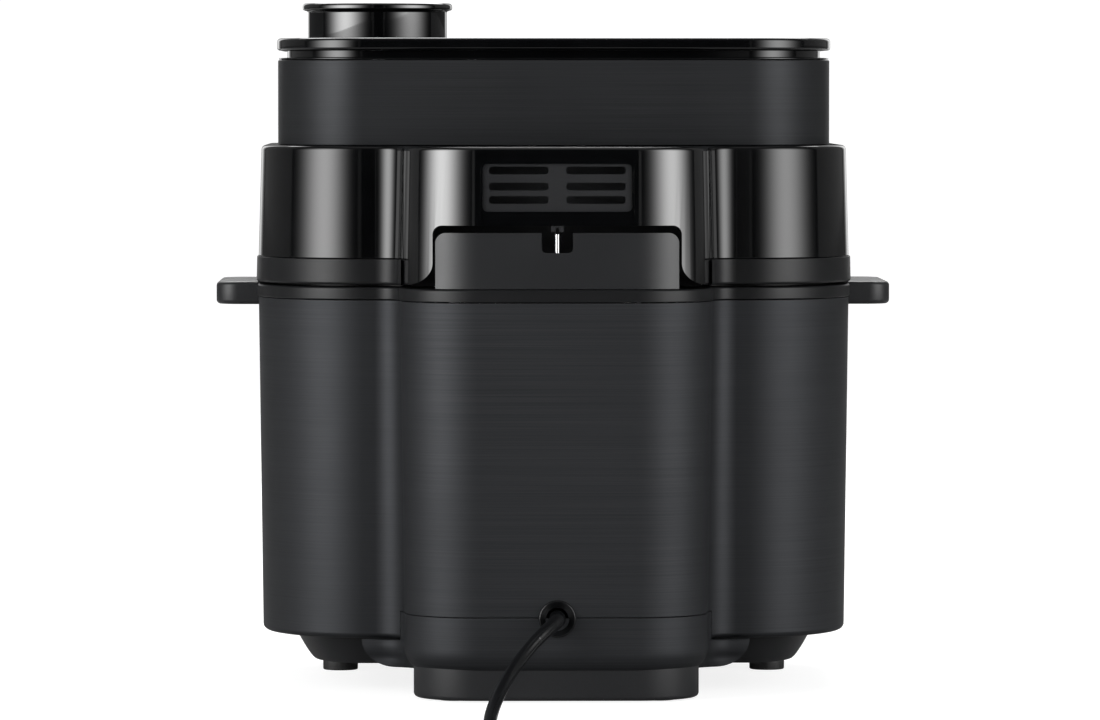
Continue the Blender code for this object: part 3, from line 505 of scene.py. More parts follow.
MATERIALS = {
    "brushed_black": surface(
        "brushed_black", (0.0225, 0.0235, 0.0258), (0.0335, 0.0350, 0.0380), rough=0.54, **BRUSHED
    ),
    "gloss_black": surface("gloss_black", rough=0.09, smudge=0.02, **DEEP_BLACK),
    "matte_black": surface(
        "matte_black", (0.0105, 0.0108, 0.0118), (0.0150, 0.0154, 0.0168),
        rough=0.40, grain=1500, depth=0.22, smudge=0.04, specular=0.36,
    ),
    "rubber_black": surface(
        "rubber_black", (0.010, 0.010, 0.010), (0.016, 0.016, 0.016),
        rough=0.62, grain=1100, depth=0.30, smudge=0.06,
    ),
    "cord_black": surface(
        "cord_black", (0.0032, 0.0034, 0.0038), (0.0052, 0.0054, 0.0060),
        rough=0.19, grain=700, depth=0.12, smudge=0.05,
    ),
    "steel": surface(
        "steel", (0.52, 0.52, 0.53), (0.66, 0.66, 0.67),
        rough=0.24, grain=(60, 60, 1500), depth=0.05, smudge=0.05, metallic=1.0,
    ),
    "aluminium": surface(
        "aluminium", (0.62, 0.62, 0.63), (0.74, 0.74, 0.75),
        rough=0.33, grain=420, depth=0.06, smudge=0.06, metallic=1.0,
    ),
    "pot_coating": surface(
        "pot_coating", (0.022, 0.022, 0.024), (0.060, 0.060, 0.064),
        rough=0.34, grain=1900, depth=0.10, smudge=0.05,
    ),
    "silicone": surface(
        "silicone", (0.42, 0.43, 0.43), (0.50, 0.51, 0.51),
        rough=0.48, grain=500, depth=0.05, smudge=0.05,
    ),
    "board_green": surface(
        "board_green", (0.010, 0.055, 0.025), (0.016, 0.085, 0.040),
        rough=0.42, grain=350, depth=0.08, smudge=0.05,
    ),
    "display_dark": surface(
        "display_dark", (0.003, 0.004, 0.005), (0.006, 0.008, 0.009),
        rough=0.06, grain=40, depth=0.002, smudge=0.015,
    ),
}

# Variants of the slots' materials for single pieces.
RIM_BLACK = surface(
    "rim_black", (0.0042, 0.0044, 0.0048), (0.0066, 0.0068, 0.0075),
    rough=0.38, grain=1500, depth=0.20, smudge=0.04, specular=0.27,
)
BAND_BLACK = surface(
    "band_black", (0.0172, 0.0180, 0.0195), (0.0260, 0.0272, 0.0293), rough=0.52, **BRUSHED
)
KEY_GREY = surface(
    "key_grey", (0.026, 0.027, 0.029), (0.036, 0.037, 0.040),
    rough=0.42, grain=1300, depth=0.16, smudge=0.04,
)
SATIN_BLACK = surface(
    "satin_black", (0.0090, 0.0094, 0.0104), (0.0130, 0.0135, 0.0148),
    rough=0.34, grain=1500, depth=0.20, smudge=0.03,
)
PANEL_BLACK = surface("panel_black", rough=0.07, smudge=0.015, specular=1.0, **DEEP_BLACK)


def piece(obj, body, slot_name, *nodes, finish=None):
    """Gives a finished piece its material, its body and the CAD nodes that it stands for."""
    obj.data.materials.clear()
    obj.data.materials.append(finish or MATERIALS[slot_name])
    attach(obj, body)
    if nodes:
        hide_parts(*nodes)
    return obj


# ---------------- camera, light, floor
def add_camera():
    """The photo's camera: behind the part, almost level."""
    data = bpy.data.cameras.new("camera")
    data.lens = CAMERA_LENS
    data.sensor_width = 36
    data.clip_end = 100
    camera = bpy.data.objects.new("camera", data)
    scene.collection.objects.link(camera)
    camera.location = CAMERA_PLACE
    camera.rotation_euler = [math.radians(a) for a in CAMERA_TURN]
    scene.camera = camera


def add_world():
    """White behind the part, and a low even grey that lights it."""
    world = bpy.data.worlds.new("studio")
    scene.world = world
    world.use_nodes = True
    nodes, links = world.node_tree.nodes, world.node_tree.links
    nodes.clear()
    path = nodes.new("ShaderNodeLightPath")
    seen, lit = nodes.new("ShaderNodeBackground"), nodes.new("ShaderNodeBackground")
    fill(seen, {"Color": (1, 1, 1, 1), "Strength": 1.05})
    fill(lit, {"Color": (1, 1, 1, 1), "Strength": 0.17})
    mix, out = nodes.new("ShaderNodeMixShader"), nodes.new("ShaderNodeOutputWorld")
    for i, source in enumerate((path.outputs["Is Camera Ray"], lit.outputs[0], seen.outputs[0])):
        links.new(source, mix.inputs[i])
    links.new(mix.outputs[0], out.inputs[0])


def math_node(tree, operation, *values):
    """A math node; each value is a number or another node's output."""
    node = tree.nodes.new("ShaderNodeMath")
    node.operation = operation
    for socket, value in zip(node.inputs, values):
        if isinstance(value, bpy.types.NodeSocket):
            tree.links.new(value, socket)
        else:
            socket.default_value = value
    return node.outputs[0]


def flat_sheet(name, half):
    """A square sheet and its material's node tree; its UVs run from -1 to 1."""
    bm = bmesh.new()
    bmesh.ops.create_grid(bm, x_segments=1, y_segments=1, size=half, calc_uvs=True)
    uv = bm.loops.layers.uv.verify()
    for face in bm.faces:
        for loop in face.loops:
            loop[uv].uv = (loop.vert.co.x / half, loop.vert.co.y / half)
    mesh = bpy.data.meshes.new(name)
    bm.to_mesh(mesh)
    bm.free()
    sheet = bpy.data.objects.new(name, mesh)
    scene.collection.objects.link(sheet)
    material = bpy.data.materials.new(name)
    material.use_nodes = True
    mesh.materials.append(material)
    return sheet, material.node_tree


def light_panel(name, azimuth, elevation, distance, size, strength, bell):
    """A soft light facing the part; it fades out as a bell, narrower for a higher number."""
    panel, tree = flat_sheet(name, 0.5)
    turn, rise = math.radians(azimuth), math.radians(elevation)
    flat = distance * math.cos(rise)
    panel.location = (flat * math.sin(turn), flat * math.cos(turn), AIM.z + distance * math.sin(rise))
    panel.rotation_euler = (AIM - panel.location).to_track_quat("Z", "Y").to_euler()
    panel.scale = (*size, 1)
    tree.nodes.clear()
    where = tree.nodes.new("ShaderNodeTexCoord")
    split = tree.nodes.new("ShaderNodeSeparateXYZ")
    tree.links.new(where.outputs["UV"], split.inputs[0])
    falls = []
    for axis, narrow in zip("XY", bell):
        square = math_node(tree, "POWER", math_node(tree, "ABSOLUTE", split.outputs[axis]), 2)
        falls.append(math_node(tree, "EXPONENT", math_node(tree, "MULTIPLY", square, -narrow)))
    power = math_node(tree, "MULTIPLY", math_node(tree, "MULTIPLY", *falls), strength)
    glow = tree.nodes.new("ShaderNodeEmission")
    tree.links.new(power, glow.inputs["Strength"])
    out = tree.nodes.new("ShaderNodeOutputMaterial")
    tree.links.new(glow.outputs[0], out.inputs[0])
    panel.visible_camera = False


def add_lights():
    """A panel on each side of the rear, one above, and three for the front."""
    for side, sign, strength in (("left", 1, 8.2), ("right", -1, 6.2)):
        light_panel(f"panel_{side}", sign * 56, 8, 1.9, (3.8, 2.8), strength, (6.2, 1.2))
    light_panel("panel_top", 180, 80, 2.0, (2.6, 2.2), 1.0, (3.5, 3.5))
    for side, sign in (("left", 1), ("right", -1)):
        light_panel(f"panel_front_{side}", sign * 162, 12, 2.6, (1.2, 2.4), 1.6, (4.0, 1.5))
    light_panel("panel_front_high", 180, 40, 2.6, (3.0, 1.8), 13.0, (3.0, 3.0))


def add_dark_card():
    """A black upright behind the part, which keeps the surfaces that face it dark."""
    card = box("dark_card", (-0.30, 0.30), (2.2, 2.21), (0.0, 2.6))
    material = bpy.data.materials.new("dark_card")
    material.use_nodes = True
    shader = material.node_tree.nodes["Principled BSDF"]
    fill(shader, {"Base Color": (0, 0, 0, 1), "Specular IOR Level": 0})
    card.data.materials.append(material)
    card.visible_camera = False


def add_floor():
    """A grey floor that glows white for the camera only, a little less close to the part."""
    floor, tree = flat_sheet("floor", 60)
    nodes, links = tree.nodes, tree.links
    shader = nodes["Principled BSDF"]
    fill(shader, {"Base Color": (0.35, 0.35, 0.35, 1), "Roughness": 0.8})
    fill(shader, {"Specular IOR Level": 0.1, "Emission Color": (1, 1, 1, 1)})
    where, length = nodes.new("ShaderNodeTexCoord"), nodes.new("ShaderNodeVectorMath")
    length.operation = "LENGTH"
    links.new(where.outputs["Object"], length.inputs[0])
    fade = nodes.new("ShaderNodeMapRange")
    fill(fade, {"From Min": 0.5, "From Max": 1.5, "To Min": 0.84, "To Max": 1.0})
    links.new(length.outputs["Value"], fade.inputs["Value"])
    by_camera = nodes.new("ShaderNodeLightPath").outputs["Is Camera Ray"]
    glow = math_node(tree, "MULTIPLY", fade.outputs["Result"], by_camera)
    links.new(glow, shader.inputs["Emission Strength"])


# ---------------- cord
# From the housing to the coil; the photo shows the first two thirds.
CORD_ROUTE = [
    (0.0000, 0.1640, 0.0459),
    (0.0008, 0.1705, 0.0452),
    (0.0034, 0.1770, 0.0432),
    (0.0074, 0.1835, 0.0401),
    (0.0122, 0.1902, 0.0360),
    (0.0175, 0.1980, 0.0304),
    (0.0234, 0.2085, 0.0238),
    (0.0287, 0.2230, 0.0167),
    (0.0325, 0.2390, 0.0110),
    (0.0348, 0.2560, 0.0073),
    (0.0361, 0.2740, 0.0052),
    (0.0369, 0.2920, 0.0041),
    (0.0373, 0.3100, CORD_LAY),
    (0.0376, 0.3280, CORD_LAY),
    (0.0378, 0.3480, CORD_LAY),
    (0.0379, 0.3690, CORD_LAY),
    (0.0380, 0.3910, CORD_LAY),
    (0.0380, 0.4140, CORD_LAY),
]
RELIEF_POINTS = 5  # of the route that the strain relief covers


def coil_route():
    """A flat spiral wound inwards, then the end rises and crosses the turns on their far side."""
    cx, cy = COIL_CENTRE
    per_turn, climb = 24, 9
    count = COIL_TURNS * per_turn
    step_over = CORD_D * 1.05
    points = []
    for k in range(count + 1):
        angle = math.pi - 2 * math.pi * k / per_turn
        radius = COIL_OUTER + (COIL_INNER - COIL_OUTER) * k / count
        lift = step_over * ease((k - count + climb) / climb)
        points.append((cx + radius * math.cos(angle), cy + radius * math.sin(angle), CORD_LAY + lift))
    x, high = cx - COIL_INNER, CORD_LAY + step_over
    points += [(x, cy + 0.016, high), (x, cy + 0.032, high), (x, cy + 0.047, high - 0.0003)]
    points += [(x - 0.001, cy + 0.058, high - 0.0010), (x - 0.0035, cy + 0.069, high - 0.0022)]
    points += [(x - 0.0064, cy + 0.078, PLUG_Z + 0.0003), (PLUG_PLACE[0], PLUG_PLACE[1] - 0.0308, PLUG_Z)]
    return points


def ease(share):
    """A smooth step from 0 to 1."""
    share = min(max(share, 0.0), 1.0)
    return share * share * (3 - 2 * share)


def add_cord():
    """The cord is one tube from the strain relief to the plug."""
    route = smooth(CORD_ROUTE + coil_route(), 3)
    curve = bpy.data.curves.new("mains_cord", "CURVE")
    curve.dimensions = "3D"
    curve.bevel_depth = CORD_D / 2
    curve.bevel_resolution = 5
    curve.use_fill_caps = True
    spline = curve.splines.new("POLY")
    spline.points.add(len(route) - 1)
    for spot, point in zip(spline.points, route):
        spot.co = (*point, 1.0)
    spline.use_smooth = True
    cord = bpy.data.objects.new("mains_cord", curve)
    scene.collection.objects.link(cord)
    piece(cord, "base", "cord_black", "power_cord", "cord_coil", "cord_tail")
    relief = add_relief()
    plug = add_plug()


def add_relief():
    """A tapered sleeve over the first stretch of the cord."""
    path = [Vector((0, 0.1545, BUSH_Z))] + smooth(CORD_ROUTE[:RELIEF_POINTS], 12)
    count = len(path) - 1
    radii = [CORD_D / 2 * (1 + 0.30 * (1 - i / count) ** 1.5) for i in range(count + 1)]
    radii[-1] -= 0.0002  # so that the end closes inside the cord
    relief = swept("cord_relief", path, radii)
    return piece(relief, "base", "rubber_black", "strain_relief", finish=MATERIALS["cord_black"])


def add_plug():
    """A flat two-pin plug with a waist at its collar."""
    x, y = PLUG_PLACE
    # along, half width, half height
    sections = [
        (-0.0295, 0.0046, 0.0046),
        (-0.0285, 0.0054, 0.0054),
        (-0.0190, 0.0062, 0.0058),
        (-0.0150, 0.0080, 0.0062),
        (-0.0105, 0.0118, 0.0068),
        (-0.0080, 0.0134, 0.0070),
        (0.0085, 0.0139, 0.0070),
        (0.0112, 0.0130, 0.0066),
        (0.0120, 0.0118, 0.0058),
    ]
    rows = []
    for along, wide, tall in sections:
        shape = round_box(-wide, wide, -tall, tall, min(wide, tall) * 0.85)
        rows.append([(x + a, y + along, PLUG_Z + b) for a, b in shape])
    body = skin("plug_body", rows)
    pin_r, root, end = 0.0020, 0.010, 0.0299
    pin = rounded([(0, root, 0), (pin_r, root, 0), (pin_r, end, 0.0008), (0, end, 0)])
    for sign in (-1, 1):
        tip = turned(f"plug_pin_{sign + 1}", pin, (x + sign * 0.0095, y, PLUG_Z), "Y", 24)
        piece(tip, "base", "steel")
    return piece(body, "base", "cord_black", "mains_plug")


def add_bush():
    """The dished ring where the cord leaves the housing."""
    rear = LOBE_REAR - housing_inset(BUSH_Z) + GAP
    # radius, distance behind the housing, rounding
    ring = rounded(
        [
            (0.0056, -0.0030, 0),
            (0.0085, -0.0030, 0),
            (0.0085, 0.0, 0),
            (0.0102, 0.0, 0.0003),
            (0.0100, 0.0009, 0.0004),
            (0.0094, 0.0016, 0.0003),
            (0.0060, -0.0006, 0.0003),
        ]
    )
    bush = turned("bush_ring", ring, (0, rear, BUSH_Z), "Y", 64)
    piece(bush, "base", "matte_black", "cord_bush", finish=MATERIALS["cord_black"])


# ---------------- base
def housing_inset(z):
    """How far the tapered housing stands inside the widest outline at a height."""
    share = (HOUSING_TOP - z) / (HOUSING_TOP - SIDE_BOTTOM)
    return HOUSING_INSET_TOP + share * (HOUSING_INSET_BOTTOM - HOUSING_INSET_TOP)


def add_housing():
    """The tapered wall, open for the lower cover, the control panel and the cord."""
    low = housing_inset(SIDE_BOTTOM)
    top = HOUSING_INSET_TOP
    profile = rounded(
        [
            (low, SIDE_BOTTOM, 0.0050),
            (top, HOUSING_TOP, 0.0006),
            (top + WALL, HOUSING_TOP, 0),
            (low + WALL, SIDE_BOTTOM + 0.004, 0),
            (low + WALL + 0.004, SIDE_BOTTOM, 0),
        ]
    )
    shell = wrap("housing_shell", body_outline, profile)
    notch = COVER_REACH + SEAM
    x, cover_front = PANEL_X + GAP, 0.0975
    window = round_box(-x, x, PANEL_Z[0] - GAP, PANEL_Z[1] + GAP, 0.008)
    carve(
        shell,
        box("tool", (-notch, notch), (cover_front, 0.2), (0.0, COVER_LINE)),
        prism("tool", window, -0.2, -0.13, "Y"),
        drill(0.0090, 0.14, 0.18, (0, 0, BUSH_Z), 32, "Y"),
    )
    soften(shell, 0.0003)
    piece(shell, "base", "brushed_black", "outer_housing")


def add_lower_cover():
    """The tray under the lobe; its underside curves inwards, and its flanks curve under the bulges."""
    inset, front = housing_inset(COVER_LINE), 0.0992
    across, tall = 0.0115, 0.0125  # of the rounded bottom edge
    shelf, top = SIDE_BOTTOM - 2 * GAP, COVER_LINE - GAP
    rows, steps = [], 14
    for k in range(steps + 1):
        angle = math.radians(90 * k / steps)
        z = shelf - (shelf - COVER_BOTTOM) * math.cos(angle)
        reach = FLARE_REACH[0] + (FLARE_REACH[1] - FLARE_REACH[0]) * math.sin(angle)
        drop = min(max((COVER_BOTTOM + tall - z) / tall, 0.0), 1.0)
        inward = inset + across * (1 - math.sqrt(1 - drop**2))
        rows.append([(x, y, z) for x, y in lobe_outline(inward, front, reach)])
    for inward, z in ((inset, shelf + 0.0002), (inset, top - 0.0003), (inset + 0.0003, top)):
        rows.append([(x, y, z) for x, y in lobe_outline(inward, front, COVER_REACH)])
    tray = skin("lower_cover", rows)
    piece(tray, "base", "brushed_black", "rear_lower_cover")


def add_foot_block():
    """The block under the lobe, with a rounded lower edge."""
    inset, front, low, top = 0.0083, 0.111, 0.0008, LOBE_BOTTOM + 0.006
    rows = []
    for z, inward in [*rounded_edge(low, 0.0024, 1), (top, 0.0)]:
        rows.append([(x, y, z) for x, y in lobe_outline(inset + inward, front, corner=BLOCK_CORNER)])
    block = skin("foot_block", rows)
    piece(block, "base", "matte_black", "rear_foot_block")


def add_pan():
    """The bottom with its sloping sides and its vent slots."""
    flange, low, high = 0.0074, 0.032, 0.0222  # insets of the flange and of the slope's two ends
    rise = SIDE_BOTTOM - 0.001 - PAN_BOTTOM
    profile = [(low + 0.010, PAN_BOTTOM), (low + 0.001, PAN_BOTTOM)]
    steps = 8
    for k in range(steps + 1):
        share = k / steps
        profile.append((low + (high - low) * share, PAN_BOTTOM + rise * share**1.25))
    profile += [(0.0215, SIDE_BOTTOM - 0.0003), (0.020, SIDE_BOTTOM), (flange, SIDE_BOTTOM)]
    profile += [(flange, SIDE_BOTTOM + WALL), (low + 0.010, SIDE_BOTTOM + WALL)]
    pan = wrap("base_pan", lid_outline, profile, ring=False)
    slots, half_w, half_d, pitch = [], 0.022, 0.003, 0.026
    for side in (-1, 1):
        for k in range(5):
            x, y = side * 0.062, -0.080 + pitch * k
            slot = round_box(x - half_w, x + half_w, y - half_d, y + half_d, 0.0029)
            slots.append(prism("tool", slot, 0, 0.03))
    carve(pan, *slots)
    piece(pan, "base", "matte_black", "bottom_pan")


def add_feet():
    """Two round feet below the pan, and two pads below the block."""
    shape = rounded(
        [
            (0, 0, 0),
            (0.0099, 0, 0.0008),
            (0.0100, 0.0040, 0.0020),
            (0.0093, PAN_BOTTOM - GAP, 0.0004),
            (0, PAN_BOTTOM - GAP, 0),
        ]
    )
    for side, x in zip(("left", "right"), FOOT_X):
        foot = turned(f"foot_{side}", shape, (x, FOOT_Y, 0), steps=64)
        piece(foot, "base", "rubber_black", f"front_foot_{side}")
    pad_shape = rounded([(0, 0, 0), (0.009, 0, 0.0002), (0.009, 0.0007, 0), (0, 0.0007, 0)])
    for side, x in (("left", -PAD_X), ("right", PAD_X)):
        pad = turned(f"pad_{side}", pad_shape, (x, PAD_Y, 0), steps=48)
        piece(pad, "base", "rubber_black", f"rear_pad_{side}")


def add_sensor_spring():
    """A wire spring under the temperature sensor; in the cooker it flattens as the sensor is pressed."""
    low, length, turns, radius, wire = 0.0420, 0.0088, 4, 0.0075, 0.0006
    count = turns * 32
    points = []
    for i in range(count + 1):
        angle = 2 * math.pi * turns * i / count
        x, y = radius * math.cos(angle), POT_Y + radius * math.sin(angle)
        points.append((x, y, low + length * i / count))
    spring = swept("sensor_spring_wire", points, [wire] * (count + 1), 10)
    piece(spring, "base", "steel", "sensor_spring")
    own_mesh(spring)


def add_rim():
    """The rim and the base's top around the pot, with a hole for the latch and two fine joints."""
    z0, z1, inner = HOUSING_TOP + GAP, RIM_TOP, RIM_INSET + 0.020
    profile = rounded(
        [
            (inner, z1 - WALL, 0),
            (RIM_INSET + WALL, z1 - WALL, 0),
            (RIM_INSET + WALL, z0, 0),
            (RIM_INSET, z0, 0.0005),
            (RIM_INSET, z1, 0.0015),
            (inner, z1, 0),
        ]
    )
    rim = wrap("rim_tray", body_outline, profile, ring=False)
    pot_hole = drill(RIM_HOLE_R, z0 - 0.02, z1 + 0.02, POT_AXIS, 128)
    latch_hole = box("tool", (-0.013, 0.013), (-0.1590, -0.1530), (0.2, 0.23))
    joints, half = [], 0.00025
    for x in (-0.0605, 0.0605):
        joints.append(box("tool", (x - half, x + half), (0.158, 0.17), (0.2, 0.23)))
    carve(rim, pot_hole, latch_hole, *joints)
    soften(rim, 0.0003)
    piece(rim, "base", "matte_black", "base_rim", finish=RIM_BLACK)


def add_handles():
    """The side grips, with rounded corners and edges."""
    inner, y0, y1, r = PLAN_HALF_W - 3 * GAP, *GRIP_Y, 0.012
    levels = rounded_edge(GRIP_Z[0], 0.0024, 1) + rounded_edge(GRIP_Z[1], 0.0024, -1)[::-1]
    for side, sign in (("left", -1), ("right", 1)):
        rows = []
        for z, inward in levels:
            corner_x = GRIP_HALF_W - inward - r
            points = [(inner, y0 + inward)]
            points += arc(corner_x, y0 + inward + r, r, -90, 0, 10)
            points += arc(corner_x, y1 - inward - r, r, 0, 90, 10)
            points += [(inner, y1 - inward)]
            rows.append([(sign * x, y, z) for x, y in points])
        grip = skin(f"handle_{side}", rows)
        piece(grip, "base", "matte_black", f"side_handle_{side}")


def add_pot():
    """The lift-out pot, which hangs by its rim."""
    rim = RIM_TOP + 0.0011 + GAP
    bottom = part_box("inner_pot")[0][2]
    floor = bottom + POT_WALL
    profile = rounded(
        [
            (0, bottom, 0),
            (POT_R, bottom, 0.010),
            (POT_R, rim, 0.0008),
            (POT_RIM_R, rim, 0.0009),
            (POT_RIM_R, rim + 0.002, 0.0009),
            (POT_R - POT_WALL, rim + 0.002, 0.0012),
            (POT_R - POT_WALL, floor, 0.009),
            (0, floor, 0),
        ],
        8,
    )
    pot = turned("pot_bowl", profile, POT_AXIS, steps=128)
    piece(pot, "base", "pot_coating", "inner_pot")


def hinge_cover_arc(inward):
    """The cover's bowed plan: the lobe's outline between the two ends of the hinge opening."""
    inset = 0.0026 + inward
    radius, reach = R_LOBE - inset, HINGE_COVER_HALF_W - inward
    centre_x = LOBE_HALF_W - inset - radius
    end = math.degrees(math.acos((reach - centre_x) / radius))
    return mirrored([(reach, 0.131)] + arc(centre_x, LOBE_REAR - inset - radius, radius, end, 90, 16))


def add_hinge_cover():
    """The bowed cover behind the hinge, and the steel pin in its notch."""
    low, high, edge = RIM_TOP + GAP, HINGE_COVER_TOP, HINGE_COVER_HALF_W
    outline = hinge_cover_arc(0.0) + hinge_cover_arc(0.002)[::-1]
    cover = prism("hinge_shield", outline, low, high)
    surround = round_box(-edge - 0.01, edge + 0.01, high - 0.02, high + 0.02, 0.001, 1)
    arch = round_box(-edge - 0.0001, edge + 0.0001, low - 0.02, high + 0.0001, 0.006, 10)
    corners = prism("tool", surround, 0.12, 0.18, "Y")
    carve(corners, prism("tool", arch, 0.11, 0.19, "Y"))
    notch = round_box(-NOTCH_HALF_W, NOTCH_HALF_W, NOTCH_BOTTOM, high + 0.01, 0.0026, 8)
    carve(cover, corners, prism("tool", notch, 0.15, 0.18, "Y"))
    soften(cover, 0.0006, 3)
    piece(cover, "base", "matte_black", "hinge_cover", finish=SATIN_BLACK)
    tip = high - 0.0004
    shape = rounded([(0, low, 0), (PIN_R, low, 0), (PIN_R, tip, 0.0005), (0, tip, 0)])
    pin = turned("sensing_pin", shape, (0, PIN_Y, 0), steps=24)
    piece(pin, "base", "steel", "lid_sensing_pin")


def button_outline(x, z, extra=0.0):
    """A button's outline around its centre, or its hole's with some extra."""
    wide, tall = BUTTON_SIZE[0] / 2 + extra, BUTTON_SIZE[1] / 2 + extra
    return round_box(x - wide, x + wide, z - tall, z + tall, 0.003)


def add_front_panel():
    """The control panel with its display lens and six buttons."""
    front, back = PANEL_Y
    places = [(x, z) for z in BUTTON_ROWS for x in BUTTON_COLUMNS]
    plate = prism("panel_plate", round_box(-PANEL_X, PANEL_X, *PANEL_Z, 0.0077, 10), front, back, "Y")
    holes = [round_box(-LENS_X - GAP, LENS_X + GAP, LENS_Z[0] - GAP, LENS_Z[1] + GAP, 0.003)]
    holes += [button_outline(x, z, GAP) for x, z in places]
    carve(plate, *[prism("tool", hole, front - 0.01, back + 0.01, "Y") for hole in holes])
    soften(plate, 0.0004, 3)
    piece(plate, "base", "gloss_black", "control_panel")
    lens = prism("panel_lens", round_box(-LENS_X, LENS_X, *LENS_Z, 0.003), front + 0.0004, back, "Y")
    soften(lens, 0.0004, 3)
    piece(lens, "base", "display_dark", "display_lens")
    for number, (x, z) in enumerate(places, 1):
        key = prism(f"key_{number}", button_outline(x, z), front, front + 0.0062, "Y")
        soften(key, 0.0006, 3)
        piece(key, f"button_{number}", "matte_black", f"panel_button_{number}", finish=KEY_GREY)


# ---------------- lid
def skirt_shape(name, bottom_z):
    """The gloss shell over the whole plan, open at the top inside its shoulder."""
    low, top, shoulder = SKIRT_INSET_BOTTOM, SKIRT_INSET_TOP, 0.030
    profile = rounded(
        [
            (low + WALL, bottom_z, 0),
            (low, bottom_z, 0.0004),
            (top, SKIRT_TOP, 0.0026),
            (shoulder, SKIRT_TOP, 0),
            (shoulder, SKIRT_TOP - WALL, 0),
            (top + WALL, SKIRT_TOP - WALL, 0),
        ]
    )
    rows = []
    for inset, z in profile:
        plan = shoulder_outline if inset == shoulder else body_outline
        rows.append([(x, y, z) for x, y in plan(inset)])
    return skin(name, rows, ring=True)


def add_skirt():
    """The lid's gloss wall at the front and sides; the rear panel fills its rear."""
    shell = skirt_shape("skirt_shell", RING_TOP)
    carve(shell, lobe_cutter(PANEL_HALF_W))
    soften(shell, 0.0001)
    piece(shell, "lid", "gloss_black", "lid_skirt")


def add_ring():
    """The lid's matt lower edge, and a dark lip inside it that closes the slit above the rim and stands in
    for the shade in that slit.
    """
    profile = rounded(
        [
            (0.0030, RING_BOTTOM, 0),
            (0.0, RING_BOTTOM, 0.0018),
            (0.0003, RING_TOP - GAP, 0.0004),
            (0.0030, RING_TOP - GAP, 0),
        ]
    )
    ring = wrap("ring_band", body_outline, profile)
    button_hole = box("tool", (-0.0203, 0.0203), (-0.2, -0.13), (0.2303, 0.2373))
    carve(ring, lobe_cutter(RING_CUT_HALF_W), button_hole)
    soften(ring, 0.0003)
    piece(ring, "lid", "matte_black", "lid_ring", finish=RIM_BLACK)
    # Painted shade: a dark lip set deep in the slit above the rim.
    (outer, inner), (low, high) = (0.0110, 0.0120), (RIM_TOP + GAP, RING_BOTTOM + 0.004)
    lip = wrap("ring_shade_lip", body_outline, [(outer, low), (inner, low), (inner, high), (outer, high)])
    carve(lip, lobe_cutter(RING_CUT_HALF_W))
    piece(lip, "lid", "matte_black", finish=RIM_BLACK)


def hinge_opening():
    """The opening's outline in X and Z, flared at its foot."""
    half, low, corner = OPENING_HALF_W, RING_BOTTOM + 0.0006, 0.005
    wide, tall = FLARE_SIZE
    right = [(half + wide, 0.20)] + arc(half + wide, low + tall, wide, 270, 180, 12, tall)
    right += arc(half - corner, OPENING_TOP - corner, corner, 0, 90, 10)
    return mirrored(right)


def add_rear_panel():
    """The lid's gloss rear around the lobe, with the hinge opening and a recess for the grille."""
    panel = skirt_shape("rear_panel", RING_BOTTOM)
    half, low_half = PANEL_HALF_W - SEAM, RING_CUT_HALF_W - SEAM
    right = [(low_half, 0.2), (low_half, RING_TOP), (half, RING_TOP), (half, 0.32)]
    carve(panel, prism("tool", mirrored(right), PANEL_FRONT + GAP, 0.2, "Y"), operation="INTERSECT")
    recess = round_box(-RECESS_HALF_W, RECESS_HALF_W, 0.24, RECESS_TOP, 0.0045, 8)
    window = round_box(-WINDOW_HALF_W, WINDOW_HALF_W, *WINDOW_Z, 0.0030, 8)
    carve(
        panel,
        prism("tool", hinge_opening(), 0.11, 0.19, "Y"),
        prism("tool", recess, LOBE_REAR - 0.0027, 0.19, "Y"),
        prism("tool", window, 0.14, 0.19, "Y"),
    )
    soften(panel, 0.0002)
    piece(panel, "lid", "gloss_black", "lid_rear_panel", finish=PANEL_BLACK)
    add_grille()
    add_hinge_shade_sheet()


def add_hinge_shade_sheet():
    """Black sheets that stand in for the shade inside the hinge opening, slotted for the hinge arms, and
    inside the grille.
    """
    half_w, arm_half = 0.0790, 0.0048
    # Painted shade: a black sheet where the hinge opening shows only shade.
    hinge_sheet = prism("hinge_shade_sheet", mirrored([(half_w, 0.2243), (half_w, 0.2970)]), 0.1180, 0.1195, "Y")
    for x in (-ARM_X, ARM_X):
        carve(hinge_sheet, box("tool", (x - arm_half, x + arm_half), (0.11, 0.13), (0.22, 0.2466)))
    piece(hinge_sheet, "lid", "matte_black")
    # Painted shade: a black sheet behind the grille's slots, where they show only shade.
    grille_sheet = prism("grille_shade_sheet", round_box(-0.0405, 0.0405, 0.2640, 0.2940, 0.003), 0.1380, 0.1392, "Y")
    piece(grille_sheet, "lid", "matte_black")


def add_grille():
    """The vent's plate with two columns of three slots."""
    half_w, half_h = 0.0161, 0.0021  # of a slot
    plate = round_box(-0.0401, 0.0401, 0.2656, 0.2912, 0.0025, 8)
    grille = prism("grille_plate", plate, 0.1555, 0.1585, "Y")
    slots = []
    for x in (-SLOT_X, SLOT_X):
        for z in SLOT_Z:
            shape = round_box(x - half_w, x + half_w, z - half_h, z + half_h, 0.0019, 8)
            slots.append(prism("tool", shape, 0.15, 0.165, "Y"))
    carve(grille, *slots)
    soften(grille, 0.0003)
    piece(grille, "lid", "matte_black", "vent_grille")


